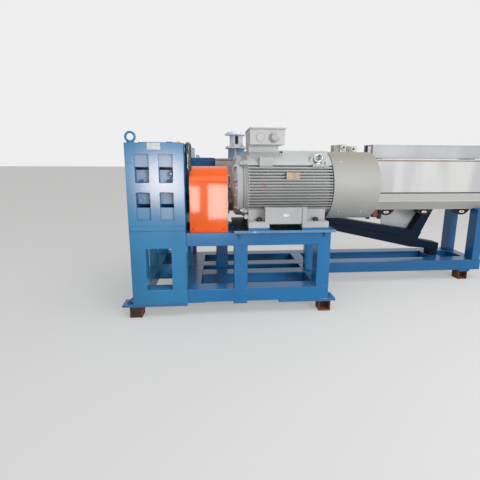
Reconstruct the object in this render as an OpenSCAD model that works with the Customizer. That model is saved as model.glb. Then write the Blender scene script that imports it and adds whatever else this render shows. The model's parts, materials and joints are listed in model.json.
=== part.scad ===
// Plastic extruder, pipe line type, as one fixed machine.
// X runs along the machine, Y runs from the motor side to the barrel side, Z is up.
// The origin is the middle of the footprint, at floor level.
// Inside the modules every height is taken from the motor shaft, and every
// length from the left end of the motor feet.

/* [Overall] */
// Distance from the motor shaft back to the barrel centre line
barrel_y = 565; // [560:1:575]
// Number of heated barrel zones
zones = 6; // [4:1:7]
// Length of one barrel zone
zone_l = 423; // [400:1:440]

/* [Gearbox] */
// Width of the gearbox along the machine
gear_w = 435; // [420:1:450]
// Height of the gearbox above its pedestal
gear_h = 676; // [670:1:690]
// Height of the gearbox top above the shaft
gear_top = 343; // [340:1:350]
// Distance from the shaft to the front face of the gearbox
gear_front = 305; // [300:1:315]
// Width of one recessed panel
pocket_w = 107; // [96:1:110]
// Height of one recessed panel
pocket_h = 217; // [200:1:225]
// Depth of the shallow half of a panel
pocket_shallow = 12; // [8:1:16]
// Depth of the deep half of a panel
pocket_deep = 42; // [30:1:50]
// Diameter of the bearing covers
cover_d = 250; // [220:1:270]

/* [Motor] */
// Diameter over the cooling fins
motor_d = 584; // [560:1:590]
// Height of the shaft above the motor feet
foot_drop = 315; // [310:1:320]
// Length of the finned body
motor_l = 722; // [715:1:730]
// Number of cooling fins on each side
fins = 15; // [13:1:16]
// Thickness of one fin
fin_t = 12; // [8:1:14]
// Length of the fan cowl
cowl_l = 391; // [380:1:400]
// Thickness of the fan cowl sheet
cowl_t = 4; // [3:1:6]
// Diameter of the motor shaft
shaft_d = 80; // [70:1:90]

/* [Welded frame] */
// Height of the upper frame rails
rail_h = 107; // [100:1:112]
// Height of the floor level beams
beam_h = 112; // [106:1:116]
// Depth of the frame rails, front to back
rail_d = 130; // [120:1:135]
// Height of the window between top and bottom rails
window_h = 367; // [360:1:375]
// Thickness of the motor base plate
plate_t = 22; // [18:1:26]
// Thickness of the pads under the motor feet
pad_t = 21; // [16:1:24]
// Thickness of the foot plates
foot_t = 20; // [16:1:24]
// Width of the square tube blocks
bearer = 100; // [90:1:105]
// Height of the square tube blocks
bearer_h = 92; // [85:1:100]
// Wall of the square tube blocks
bearer_wall = 6; // [5:1:8]

/* [Coupling guard] */
// Length of the guard along the machine
guard_l = 307; // [290:1:320]
// Height of the guard top above the shaft
guard_top = 166; // [160:1:172]
// Height above the shaft of the crease where the roof starts
guard_crease = 52; // [40:1:64]
// Sheet thickness of the guard
guard_t = 3; // [2:1:4]

/* [Barrel] */
// Width of the sheet shroud
shroud_w = 416; // [400:1:420]
// Height of the shroud top above the shaft
shroud_top = 232; // [225:1:238]
// Sheet thickness of the shroud
shroud_t = 3; // [2:1:4]
// Outer diameter of the barrel
barrel_d = 150; // [140:1:160]
// Diameter of the barrel end flange
flange_d = 330; // [300:1:340]
// Diameter of the feed throat
throat_d = 172; // [165:1:180]
// Diameter of the upper hopper flange
hopper_d = 184; // [178:1:190]

/* [Hidden] */

// round parts are drawn with this many facets on the preview only
$fn = 96;

// clearance left between pieces that seat on a curve or slide together
clr = 0.3;

// heights, all measured from the shaft
z_pad = -foot_drop;
z_plate = z_pad - pad_t;
z_rail = z_plate - plate_t;
z_win = z_rail - rail_h;
z_low = z_win - window_h;
z_base = z_low - beam_h;
z_bear = z_base - foot_t;
z_floor = z_bear - bearer_h;
z_seam = gear_top - gear_h;
z_hop = shroud_top + 102;
z_tray = -280;

// lengths, all measured from the left end of the motor feet
x_g1 = -517;
x_g0 = x_g1 - gear_w;
x_tip = x_g0 - 88;
x_f1 = 667;
x_cross = 557;
x_plate0 = -134;
x_plate1 = 695;
x_throat = -70;
x_sh0 = -285;
x_zone = 31;
x_sh1 = x_zone + zones * zone_l + 1;
x_end = x_sh1 + 130;
x_gd = x_g1 + 30;
x_c3 = 770;
x_c4 = x_sh1 - 464;
x_br0 = x_c3 - 10;
x_br = x_c4 - 116;
x_duct = 1335;
x_shaft = x_g1 + 352;

// depths, all measured from the shaft
y_face = -288;
y_back = barrel_y + gear_front;
y_rail2 = 68;
y_c = 320;
y_d = barrel_y * 2 - y_c - rail_d;
y_plate = -318;
y_mid = 264;

// middle of the whole machine
mid_x = (x_tip + x_end) / 2;
mid_y = (y_plate + y_back) / 2;

module place() {
    translate([-mid_x, -mid_y, -z_floor]) children();
}

// box given by its two corners
module span(a, b) {
    translate(a) cube([b[0] - a[0], b[1] - a[1], b[2] - a[2]]);
}

// round bar along the machine
module bar_x(x0, x1, y, z, d) {
    translate([x0, y, z]) rotate([0, 90, 0]) cylinder(h = x1 - x0, d = d);
}

// round bar running front to back
module bar_y(y0, y1, x, z, d) {
    translate([x, y1, z]) rotate([90, 0, 0]) cylinder(h = y1 - y0, d = d);
}

// upright round bar
module bar_z(z0, z1, x, y, d) {
    translate([x, y, z0]) cylinder(h = z1 - z0, d = d);
}

// rounded rectangle in the XZ plane, cut from y0 to y1
module pocket_cut(x0, x1, z0, z1, y0, y1, r) {
    span([x0 + r, y0, z0], [x1 - r, y1, z1]);
    span([x0, y0, z0 + r], [x1, y1, z1 - r]);
    for (x = [x0 + r, x1 - r], z = [z0 + r, z1 - r]) bar_y(y0, y1, x, z, 2 * r);
}

// Short blocks of square tube under the machine
x_b1 = x_f1 - 73;
x_b2 = x_sh1 - 220;
bearer_at = [
    [x_g0 - 32, 2 - gear_front], [x_g0 - 32, y_back - bearer - 2], [x_b1, y_face + 2],
    [x_b1, y_c + 15], [x_b1, y_d + 15], [x_b2, y_c + 15], [x_b2, y_d + 15]
];
module square_bearers() {
    w = bearer_wall;
    color([0.45, 0.27, 0.18])
    for (b = bearer_at) translate([b[0], b[1], z_floor])
        difference() {
            cube([bearer, bearer, bearer_h]);
            translate([w, -1, w]) cube([bearer - 2 * w, bearer + 2, bearer_h - 2 * w]);
        }
}

// Upright gusset with a lashing hole, standing on a foot plate
module foot_gusset(x, y, turn) {
    translate([x, y + 6, z_base]) rotate([0, 0, turn]) rotate([90, 0, 0])
        translate([0, 0, -6]) linear_extrude(12)
            difference() {
                polygon([[0, 0], [62, 0], [0, 64]]);
                translate([20, 21]) circle(d = 20);
            }
}

// Pedestal under the gearbox
ped_w0 = x_g0 + 118;
ped_w1 = x_g1 - 116;
module pedestal_panel(y0, y1) {
    difference() {
        span([x_g0, y0, z_base], [x_g1, y1, z_seam]);
        span([ped_w0, y0 - 1, z_low + 10], [ped_w1, y1 + 1, z_seam - 144]);
    }
}
module pedestal_panels() {
    color([0.20, 0.42, 0.66]) {
        pedestal_panel(-gear_front, -gear_front + 118);
        pedestal_panel(y_back - 118, y_back);
    }
}
module pedestal_side_rails() {
    y0 = -gear_front + 118;
    y1 = y_back - 118;
    color([0.20, 0.42, 0.66])
    for (x = [x_g0, x_g1 - 105], z = [z_base, z_seam - 120])
        span([x, y0, z], [x + 105, y1, z + (z == z_base ? beam_h : 120)]);
}
module pedestal_mid_beam() {
    color([0.20, 0.42, 0.66]) {
        span([x_g0 + 105, y_mid, z_base], [x_g1 - 105, y_mid + rail_d, z_low]);
        for (x = [x_g0 + 10, x_g1 - 85])
            span([x, y_mid + 26, z_low], [x + 75, y_mid + 101, z_seam - 120]);
    }
}
// Gearbox
module face_pocket(x0, z0, up) {
    zs = up ? z0 + pocket_h - 97 : z0 + 97;
    g = up ? 22 : 26;
    y0 = -gear_front - 1;
    pocket_cut(x0, x0 + pocket_w, z0, z0 + pocket_h, y0, -gear_front + pocket_shallow, 10);
    if (up) {
        pocket_cut(x0 + 2, x0 + pocket_w - 1, z0 + 1, zs, y0, -gear_front + pocket_deep, 8);
        span([x0 + 2, y0, zs - g], [x0 + pocket_w - 1, -gear_front + 110, zs]);
    } else {
        pocket_cut(x0 + 2, x0 + pocket_w - 1, zs, z0 + pocket_h - 1, y0, -gear_front + pocket_deep, 8);
        span([x0 + 2, y0, zs], [x0 + pocket_w - 1, -gear_front + 110, zs + g]);
    }
}
// small three cornered rib on the floor of a deep panel
module inner_rib(x) {
    z0 = gz[1];
    translate([x, -gear_front + pocket_deep + 1, z0]) rotate([90, 0, 0])
        linear_extrude(pocket_deep - 14) polygon([[-20, 0], [20, 0], [5, 28], [-5, 28]]);
}
gx = [x_g0 + 68, x_g1 - 82 - pocket_w];
gz = [z_seam + 87, gear_top - 83 - pocket_h];
module gearbox_housing() {
    color([0.24, 0.47, 0.70]) {
        difference() {
            span([x_g0, -gear_front, z_seam], [x_g1, y_back, gear_top]);
            for (x = gx) {
                face_pocket(x, gz[0], false);
                face_pocket(x, gz[1], true);
            }
            // the same panels on the rear face, all shallow
            for (x = gx, z = gz)
                pocket_cut(x, x + pocket_w, z, z + pocket_h, y_back - 25, y_back + 1, 10);
            // three columns of panels on the wide left side
            for (y = [-gear_front + 115, (y_back - gear_front) / 2 - 85, y_back - 285], z = gz)
                span([x_g0 - 1, y, z], [x_g0 + 25, y + 170, z + pocket_h]);
            // oil sight glass seat and drain port low on the left side
            bar_x(x_g0 - 1, x_g0 + 12, 282, z_seam + 45, 60);
        }
        // cast stubs standing in the deep panels
        bar_y(-gear_front + 20, -gear_front + pocket_deep + 1, x_g1 - 101, 113, 40);
        bar_y(-gear_front + 28, -gear_front + pocket_deep + 1, x_g0 + 96, -94, 34);
        for (x = [gx[0] + 43, gx[1] + 71]) inner_rib(x);
        // low rib along the foot of the box
        span([x_g0 + 12, -gear_front - 4, z_seam + 2], [x_g1 - 12, -gear_front + 1, z_seam + 40]);
    }
}
module gearbox_top_cover() {
    color([0.24, 0.47, 0.70]) {
        span([x_g0 + 60, -110, gear_top], [x_g1 - 45, y_back - 140, gear_top + 14]);
        bar_z(gear_top + 14, gear_top + 50, (x_g0 + x_g1) / 2, 480, 60);
    }
}
module lifting_eye(x, y, z, r) {
    bar_z(z, z + 10, x, y, r * 1.25);
    translate([x, y, z + r + 2]) rotate([90, 0, 0])
        rotate_extrude() translate([r - r * 0.2, 0]) circle(r = r * 0.2);
}
module gearbox_lifting_eye() {
    color([0.24, 0.47, 0.70]) lifting_eye(x_g0 + 36, -255, gear_top, 43);
}
module gearbox_bearing_covers() {
    color([0.14, 0.28, 0.48]) {
        for (y = [0, barrel_y]) {
            bar_x(x_g0 - 24, x_g0, y, 0, cover_d);
            bar_x(x_g0 - 34, x_g0 - 24, y, 0, cover_d * 0.62);
        }
        difference() {
            bar_x(x_g1, x_g1 + 22, 0, 0, cover_d + 30);
            bar_x(x_g1 - 1, x_g1 + 23, 0, 0, shaft_d + 10);
        }
    }
}
module oil_filter() {
    x = x_g1 + 26;
    color([0.22, 0.24, 0.28]) {
        span([x_g1, -216, 180], [x, -184, 196]);
        bar_z(130, 330, x, -200, 48);
        bar_z(330, 341, x, -200, 38);
        bar_z(341, 350, x, -200, 22);
    }
}

// Drive between motor and gearbox
gd_y0 = y_face + 50;
gd_y1 = y_rail2 + rail_d - 12;
// radius of the roof, from its half width and its rise
gd_half = (gd_y1 - gd_y0) / 2;
gd_rise = guard_top - guard_crease;
gd_roof = (gd_half * gd_half + gd_rise * gd_rise) / (2 * gd_rise);
module guard_shape(t) {
    y0 = gd_y0 + t;
    y1 = gd_y1 - t;
    span([t, y0, z_rail - (t > 0 ? 1 : 0)], [guard_l - t, y1, guard_crease]);
    intersection() {
        bar_x(t, guard_l - t, (y0 + y1) / 2, guard_top - gd_roof, 2 * (gd_roof - t));
        span([t, y0 + t / 2, guard_crease - 1], [guard_l - t, y1 - t / 2, guard_top]);
    }
}
module coupling_guard() {
    color([0.95, 0.38, 0.10]) {
        difference() {
            translate([x_gd, 0, 0]) guard_shape(0);
            translate([x_gd, 0, 0]) guard_shape(guard_t);
            bar_x(x_gd - 1, x_gd + guard_l + 1, 0, 0, shaft_d + 60);
        }
        span([x_gd, gd_y0 - 22, z_rail], [x_gd + guard_l, gd_y0, z_rail + 4]);
    }
}
module coupling() {
    color([0.30, 0.32, 0.35]) {
        bar_x(x_g1, x_m0 - clr, 0, 0, shaft_d);
        bar_x(x_gd + 47, x_gd + 142, 0, 0, 250);
        bar_x(x_gd + 152, x_gd + 237, 0, 0, 250);
        bar_x(x_gd + 237, x_gd + 272, 0, 0, 150);
    }
}

// Welded frame under the motor
module frame_top_rails() {
    color([0.25, 0.50, 0.74])
    for (y = [y_face, y_rail2]) span([x_g1, y, z_win], [x_f1, y + rail_d, z_rail]);
}
module frame_bottom_rails() {
    color([0.25, 0.50, 0.74]) {
        span([x_g1, y_face, z_base], [x_f1, y_face + rail_d, z_low]);
        span([x_g1 + 105, y_rail2, z_base], [x_cross, y_rail2 + rail_d, z_low]);
    }
}
module frame_posts() {
    color([0.25, 0.50, 0.74]) {
        span([-132, y_face, z_low], [-23, y_face + rail_d, z_win]);
        span([x_cross, y_face, z_low], [x_f1, y_face + rail_d, z_win]);
        span([x_cross + 14, 116, z_low], [x_cross + 88, 190, z_win]);
    }
}
module frame_cross_members() {
    y0 = y_face + rail_d;
    color([0.25, 0.50, 0.74])
    for (x = [[x_g1, x_g1 + 105], [x_cross, x_f1]])
        span([x[0], y0, z_base], [x[1], y_c, z_low]);
}
module foot_plates() {
    color([0.20, 0.42, 0.66]) {
        for (y = [-gear_front, y_back - 118]) {
            difference() {
                span([x_tip, y, z_bear], [x_g1, y + 118, z_base]);
                bar_z(z_bear - 1, z_base + 1, x_tip + 40, y + 82, 26);
            }
            foot_gusset(x_g0, y + 38, 180);
        }
        span([x_f1 - 806, y_face, z_bear], [x_f1 - 691, y_face + rail_d, z_base]);
        difference() {
            span([x_f1 - 422, y_face, z_bear], [x_f1 + 68, y_face + rail_d, z_base]);
            bar_z(z_bear - 1, z_base + 1, x_f1 + 46, y_face + 82, 26);
        }
        foot_gusset(x_f1, y_face + 38, 0);
        // packing plates between the barrel base and the blocks
        for (x = [x_b1, x_b2], y = [y_c, y_d])
            span([x - 10, y, z_bear], [x + bearer + 10, y + rail_d, z_base]);
    }
}
foot_x = [[-20, 148], [414, 631]];
foot_hx = [72, 540];
module motor_base_plate() {
    color([0.25, 0.50, 0.74])
    difference() {
        span([x_plate0, y_plate, z_rail], [x_plate1, 300, z_plate]);
        for (x = foot_hx, y = [-254, 254]) bar_z(z_rail - 1, z_plate + 1, x, y, 30);
    }
}
module plate_gussets() {
    y2 = y_rail2 + rail_d;
    color([0.20, 0.40, 0.62])
    for (x = [-98, 606], p = [[y_face, y_plate + 2, 56], [y2, 290, 90]])
        translate([x, 0, 0]) rotate([90, 0, 90]) linear_extrude(14)
            polygon([[p[0], z_rail], [p[1], z_rail], [p[0], z_rail - p[2]]]);
}
module motor_pads() {
    color([0.25, 0.50, 0.74])
    for (i = [0, 1], s = [0, 1])
        difference() {
            span([foot_x[i][0], s ? 200 : y_plate, z_plate],
                 [foot_x[i][1], s ? 300 : -200, z_pad]);
            bar_z(z_plate - 1, z_pad + 1, foot_hx[i], s ? 254 : -254, 30);
        }
}

// Motor
x_m0 = -52;
x_m1 = x_m0 + motor_l;
fin_z = 327;
z_tb = 340;
eye_x = 550;
eye_y = -222;
ear_r = motor_d / 2 - 26;
module motor_body() {
    color([0.70, 0.70, 0.67])
    difference() {
        union() {
            motor_casting();
            // flat faced pad of the lifting eye, with its lug
            span([500, -246, 166], [600, -160, 190]);
            span([606, -238, 166], [640, -160, 204]);
        }
        bar_z(190, 320, eye_x, eye_y, 64);
    }
}
module motor_casting() {
    pitch = fin_z / (fins - 1);
    union() {
        bar_x(x_m0, x_m1, 0, 0, motor_d - 54);
        // straight cooling fins on both sides
        intersection() {
            bar_x(-18, x_m1 - 8, 0, 0, motor_d);
            for (i = [0 : fins - 1])
                span([-18, -motor_d / 2, -168 + i * pitch - fin_t / 2],
                     [x_m1 - 8, motor_d / 2, -168 + i * pitch + fin_t / 2]);
        }
        // smooth upper part
        intersection() {
            bar_x(-26, x_m1 - 6, 0, 0, motor_d);
            span([-26, -motor_d / 2, 178], [x_m1 - 6, motor_d / 2, 290]);
        }
        // raised flat on top and the neck of the terminal box
        span([-10, -120, 230], [x_m1 - 12, 120, 297]);
        translate([-5, 0, 0]) rotate([90, 0, 90]) linear_extrude(247)
            polygon([[-160, 238], [160, 238], [122, 282], [122, z_tb], [-122, z_tb], [-122, 282]]);
        // raised block on the front shoulder
        span([72, 49 - motor_d / 2, 166], [175, -150, 240]);
        // seat of the blank plate
        span([285, 11 - motor_d / 2, 74], [385, -240, 120]);
    }
}
module motor_feet() {
    color([0.70, 0.70, 0.67])
    for (s = [0, 1]) mirror([0, s, 0]) {
        difference() {
            union() {
                for (f = foot_x) span([f[0], y_plate, -foot_drop], [f[1], -190, -268]);
                span([foot_x[0][0] + 6, -228, -268], [foot_x[1][1] - 6, -200, -150]);
                span([113, -312, -268], [148, -228, -152]);
                span([414, -312, -268], [450, -228, -152]);
                span([148, -305, -287], [414, -290, -154]);
                span([148, -290, -172], [414, -228, -154]);
            }
            for (x = foot_hx) bar_z(-foot_drop - 1, -267, x, -254, 30);
            bar_x(-60, x_m1, 0, 0, motor_d - 54 + 2 * clr);
            intersection() {
                bar_x(-60, x_m1, 0, 0, motor_d + 2 * clr);
                span([-60, -motor_d, -176], [x_m1, motor_d, 0]);
            }
        }
    }
}
module motor_end_shields() {
    color([0.70, 0.70, 0.67]) {
        drive_end_shield();
        rear_end_shield();
    }
}
module drive_end_shield() {
    difference() {
        union() {
            // rim, dished face and bearing cap
            bar_x(-106, x_m0, 0, 0, motor_d - 70);
            translate([-106, 0, 0]) rotate([0, -90, 0])
                cylinder(h = 22, d1 = motor_d - 84, d2 = motor_d - 240);
            bar_x(-142, -120, 0, 0, motor_d - 270);
            bar_x(-160, -140, 0, 0, 230);
            // ears of the four flange bolts
            for (a = [45 : 90 : 315]) rotate([a, 0, 0]) bar_x(-66, x_m0, 0, ear_r, 44);
        }
        bar_x(-166, x_m0 + 1, 0, 0, shaft_d + 2 * clr);
    }
}
module rear_end_shield() {
    difference() {
        bar_x(x_m1, x_m1 + 34, 0, 0, motor_d - 2 * cowl_t - 2 * clr);
        bar_x(x_m1 + 12, x_m1 + 35, 0, 0, motor_d - 2 * cowl_t - 60);
    }
}
module fan_cowl() {
    color([0.72, 0.71, 0.67])
    difference() {
        bar_x(x_m1, x_m1 + cowl_l, 0, 0, motor_d);
        bar_x(x_m1 - 1, x_m1 + cowl_l + 1, 0, 0, motor_d - 2 * cowl_t);
    }
}
module cowl_grille() {
    x0 = x_m1 + cowl_l - 14;
    color([0.60, 0.60, 0.57])
    difference() {
        bar_x(x0, x0 + 8, 0, 0, motor_d - 2 * cowl_t - 2 * clr);
        for (r = [75, 120, 165, 210, 252], a = [0 : 60 : 300])
            intersection() {
                difference() {
                    bar_x(x0 - 1, x0 + 9, 0, 0, 2 * r + 26);
                    bar_x(x0 - 2, x0 + 10, 0, 0, 2 * r - 10);
                }
                rotate([a, 0, 0]) span([x0 - 1, 10 - r / 2, 0], [x0 + 9, r / 2 - 10, 300]);
            }
    }
}
module terminal_box() {
    color([0.72, 0.72, 0.69]) {
        span([-3, -190, z_tb], [281, 190, 462]);
        bar_y(-194, -190, 84, 401, 68);
    }
}
module terminal_box_lid() {
    color([0.72, 0.72, 0.69]) span([-9, -197, 462], [289, 197, 474]);
}
module cable_gland() {
    color([0.72, 0.72, 0.69]) {
        bar_y(-212, -190, 201, 400, 78);
        bar_y(-226, -212, 201, 400, 58);
    }
}
module motor_eyebolt() {
    color([0.75, 0.77, 0.78]) translate([eye_x, eye_y, 0]) {
        bar_z(190, 200, 0, 0, 46);
        translate([0, 0, 236]) rotate([90, 0, 0])
            rotate_extrude() translate([32, 0]) circle(r = 9);
    }
}
module blank_nameplate() {
    color([0.72, 0.66, 0.52]) span([281, 8 - motor_d / 2, 73], [389, 11 - motor_d / 2, 124]);
}

// Base under the barrel
module barrel_base_beams() {
    color([0.20, 0.42, 0.66])
    for (y = [y_c, y_d]) span([x_g1, y, z_base], [x_sh1, y + rail_d, z_low]);
}
bx = [
    [x_g1, x_g1 + 105], [x_cross, x_f1], [x_c3, x_c3 + 110], [x_c4, x_c4 + 110],
    [x_sh1 - 110, x_sh1]
];
module barrel_base_cross_members() {
    color([0.16, 0.34, 0.56])
    for (x = bx) span([x[0], y_c + rail_d, z_base], [x[1], y_d, z_low]);
}
sup_x = x_sh1 - 102;
module barrel_trestles() {
    color([0.16, 0.34, 0.56]) {
        for (y = [y_c, y_d + rail_d - 110]) {
            span([-284, y, z_low], [-170, y + 110, z_tray - 16]);
            span([sup_x, y, z_low], [sup_x + 90, y + 110, z_tray - 22]);
        }
        span([x_g1, y_c, z_tray - 16], [-150, y_d + rail_d, z_tray + 18]);
        span([sup_x, y_c, z_tray - 22], [sup_x + 90, y_d + rail_d, z_tray - clr]);
    }
}
module barrel_cradle() {
    color([0.16, 0.34, 0.56])
    difference() {
        span([sup_x, barrel_y - 60, z_tray + shroud_t + clr], [sup_x + 70, barrel_y + 60, 0]);
        bar_x(sup_x - 1, sup_x + 71, barrel_y, 0, barrel_d + 2 * clr);
    }
}
module corner_cut(x, left) {
    difference() {
        span([x - 1, barrel_y - 180, 216], [x + 25, barrel_y + 180, 241]);
        bar_y(barrel_y - 181, barrel_y + 181, left ? x + 24 : x, 216, 48);
    }
}
module thrust_housing() {
    color([0.13, 0.26, 0.44]) {
        difference() {
            span([x_g1, barrel_y - 170, z_tray + 18], [x_sh0 - clr, barrel_y + 170, 240]);
            // rounded upper corners
            for (x = [x_g1, x_sh0 - clr - 24]) corner_cut(x, x == x_g1);
        }
        bar_z(240, 262, x_g1 + 51, barrel_y - 8, 34);
    }
}
module feed_throat() {
    zb = barrel_d / 2 + 30;
    color([0.12, 0.27, 0.47]) {
        // water cooled block round the barrel
        difference() {
            span([x_throat - 110, barrel_y - 100, z_tray + 18],
                 [x_throat + 110, barrel_y + 100, zb]);
            bar_x(x_throat - 120, x_throat + 120, barrel_y, 0, barrel_d + 2 * clr);
            bar_z(barrel_d / 2, zb + 1, x_throat, barrel_y, throat_d - 40);
        }
        // upright tube up to the hopper
        difference() {
            bar_z(zb + clr, z_hop, x_throat, barrel_y, throat_d);
            bar_z(zb, z_hop + 1, x_throat, barrel_y, throat_d - 40);
        }
    }
}
module hopper_spool() {
    neck_d = hopper_d - 46;
    z1 = z_hop + 148;
    color([0.82, 0.82, 0.86])
    difference() {
        union() {
            bar_z(z_hop, z_hop + 16, x_throat, barrel_y, hopper_d + 46);
            bar_z(z_hop + 16, z1, x_throat, barrel_y, neck_d);
            bar_z(z1, z1 + 15, x_throat, barrel_y, hopper_d);
            // stiffening ribs between neck and lower flange
            for (a = [45 : 90 : 315]) translate([x_throat, barrel_y, 0]) rotate([0, 0, a])
                rotate([90, 0, 0]) translate([0, 0, -4]) linear_extrude(8)
                    polygon([[neck_d / 2 - 4, z_hop + 16], [hopper_d / 2 + 14, z_hop + 16],
                             [neck_d / 2 - 4, z_hop + 76]]);
        }
        bar_z(z_hop - 1, z1 + 16, x_throat, barrel_y, neck_d - 16);
        // long slots round the neck
        for (a = [0 : 90 : 270]) translate([x_throat, barrel_y, 0]) rotate([0, 0, a]) {
            span([-16, -hopper_d / 2, z_hop + 56], [16, -40, z_hop + 112]);
            for (z = [z_hop + 56, z_hop + 112]) bar_y(-hopper_d / 2, -40, 0, z, 32);
        }
    }
}
module barrel_tube() {
    color([0.55, 0.56, 0.58])
    difference() {
        bar_x(x_sh0, x_end - 60, barrel_y, 0, barrel_d);
        bar_x(x_sh0 - 1, x_end - 59, barrel_y, 0, 75);
    }
}
module barrel_end_flange() {
    color([0.50, 0.51, 0.53])
    difference() {
        union() {
            bar_x(x_sh1 + 20, x_end - 60, barrel_y, 0, 240);
            bar_x(x_end - 60, x_end, barrel_y, 0, flange_d);
        }
        bar_x(x_sh1 + 19, x_end - 60, barrel_y, 0, barrel_d + 2 * clr);
        bar_x(x_end - 61, x_end + 1, barrel_y, 0, 75);
        for (a = [0 : 45 : 315]) translate([0, barrel_y, 0]) rotate([a, 0, 0])
            bar_x(x_end - 61, x_end + 1, 0, flange_d / 2 - 28, 24);
    }
}

// Sheet shroud round the barrel
s_y0 = barrel_y - shroud_w / 2;
s_y1 = barrel_y + shroud_w / 2;
s_seam = -104;
module shroud_cover() {
    t = shroud_t;
    z1 = shroud_top;
    color([0.88, 0.88, 0.87]) {
        // front and rear panels
        for (y = [s_y0, s_y1 - t]) span([x_sh0, y, s_seam], [x_sh1, y + t, z1]);
        // roof panel with the hole of the feed throat
        difference() {
            span([x_sh0, s_y0 + t + clr, z1 - t], [x_sh1, s_y1 - t - clr, z1]);
            bar_z(z1 - t - 1, z1 + 1, x_throat, barrel_y, throat_d + 6);
        }
        // end panels with the hole of the barrel
        for (x = [x_sh0, x_sh1 - t]) difference() {
            span([x, s_y0 + t + clr, s_seam], [x + t, s_y1 - t - clr, z1 - t - clr]);
            bar_x(x - 1, x + t + 1, barrel_y, 0, barrel_d + 10);
        }
    }
}
// side panel of the tray, with its top edge set back to stand inside the cover
module tray_side() {
    t = shroud_t;
    y = s_y0;
    linear_extrude(x_sh1 - x_tr)
        polygon([[y, -196], [y, s_seam - 12], [y + t + clr, s_seam - 12], [y + t + clr, s_seam + 16],
                 [y + 2 * t + clr, s_seam + 16], [y + 2 * t + clr, s_seam - 12 - t],
                 [y + t, s_seam - 12 - t], [y + t, -196]]);
    // bevel below it
    linear_extrude(x_sh1 - x_tr)
        polygon([[y, -196 - clr], [y + t, -196 - clr], [y + 46 + t * 0.6, z_tray + t],
                 [y + 46 + t * 0.6, z_tray], [y + 46, z_tray]]);
}
x_tr = x_sh0 + 137;
module shroud_tray() {
    t = shroud_t;
    u = 46 + t * 0.6 + clr;
    e = 2 * t + 2 * clr;
    color([0.86, 0.86, 0.85]) {
        translate([x_tr, 0, 0]) rotate([90, 0, 90]) tray_side();
        translate([x_tr, 2 * barrel_y, 0]) mirror([0, 1, 0]) rotate([90, 0, 90]) tray_side();
        // bottom sheet with the slots of the blower wheels
        difference() {
            span([x_tr, s_y0 + u, z_tray], [x_sh1, s_y1 - u, z_tray + t]);
            for (i = [0 : zones - 1])
                span([zone_x(i) - 100, bl_y - 6, z_tray - 1],
                     [zone_x(i) + 100, bl_y + 66, z_tray + t + 1]);
        }
        // end walls, the left one open round the feed block
        difference() {
            for (x = [x_tr, x_sh1 - t]) translate([x, 0, 0]) rotate([90, 0, 90]) linear_extrude(t)
                polygon([[s_y0 + e, s_seam - 12], [s_y0 + e, -196], [s_y0 + u + t, z_tray + t + clr],
                         [s_y1 - u - t, z_tray + t + clr], [s_y1 - e, -196], [s_y1 - e, s_seam - 12]]);
            span([x_tr - 1, barrel_y - 100 - clr, z_tray + 18 - clr],
                 [x_tr + t + 1, barrel_y + 100 + clr, s_seam + 17]);
        }
    }
}
bl_y = barrel_y - 147;
function zone_x(i) = x_zone + (i + 0.5) * zone_l;
module zone_blowers() {
    color([0.08, 0.08, 0.09])
    for (i = [0 : zones - 1]) translate([zone_x(i), 0, 0]) {
        bar_y(bl_y, bl_y + 60, 0, -257, 190);
        // base frame on the tray and the duct up to the barrel
        span([-112, bl_y - 2, z_tray + shroud_t + clr], [112, bl_y + 142, z_tray + 13]);
        span([-45, bl_y + 60, z_tray + 12], [45, bl_y + 142, -150]);
    }
}

// Slanting brace between base and barrel, deeper towards its foot
function brace_part(x) = (x - x_br0) / (x_br - x_br0);
function brace_z(x) = z_tray - 65 - (z_tray - z_low - 337) * brace_part(x);
function brace_low(x) = z_tray - 199 - (z_tray - z_low - 277) * brace_part(x);
brace_y0 = barrel_y - 60;
brace_y1 = barrel_y + 60;
module barrel_brace() {
    x_foot = x_br - 115;
    color([0.07, 0.16, 0.30])
    difference() {
        union() {
            translate([0, brace_y1, 0]) rotate([90, 0, 0]) linear_extrude(brace_y1 - brace_y0)
                polygon([[x_br0, brace_z(x_br0)], [x_br, brace_z(x_br)],
                         [x_br - 38, brace_z(x_br) - 82], [x_c4 + 100, z_low + 142],
                         [x_c4 + 100, z_low + 72], [x_foot, brace_low(x_foot)],
                         [x_br0, brace_low(x_br0)]]);
            // strut up to the tray
            translate([0, brace_y1 - 10, 0]) rotate([90, 0, 0])
                linear_extrude(brace_y1 - brace_y0 - 20)
                polygon([[x_br - 122, brace_z(x_br - 122) - 20], [x_br - 9, brace_z(x_br) - 20],
                         [x_br + 126, z_tray - clr], [x_br + 32, z_tray - clr]]);
            // posts on the cross members
            span([x_c3 + 10, brace_y0 + 10, z_low], [x_c3 + 100, brace_y1 - 10, brace_z(x_c3 + 10) - 90]);
            span([x_c4 + 10, brace_y0 + 10, z_low], [x_c4 + 100, brace_y1 - 10, z_low + 100]);
        }
        // long slot line on both faces
        for (y = [brace_y0 + 12, brace_y1 + 1])
            translate([0, y, 0]) rotate([90, 0, 0]) linear_extrude(13)
                polygon([[x_br0 + 50, brace_z(x_br0 + 50) - 66], [x_br - 265, brace_z(x_br - 265) - 80],
                         [x_br - 265, brace_z(x_br - 265) - 91], [x_br0 + 50, brace_z(x_br0 + 50) - 77]]);
    }
}
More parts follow.
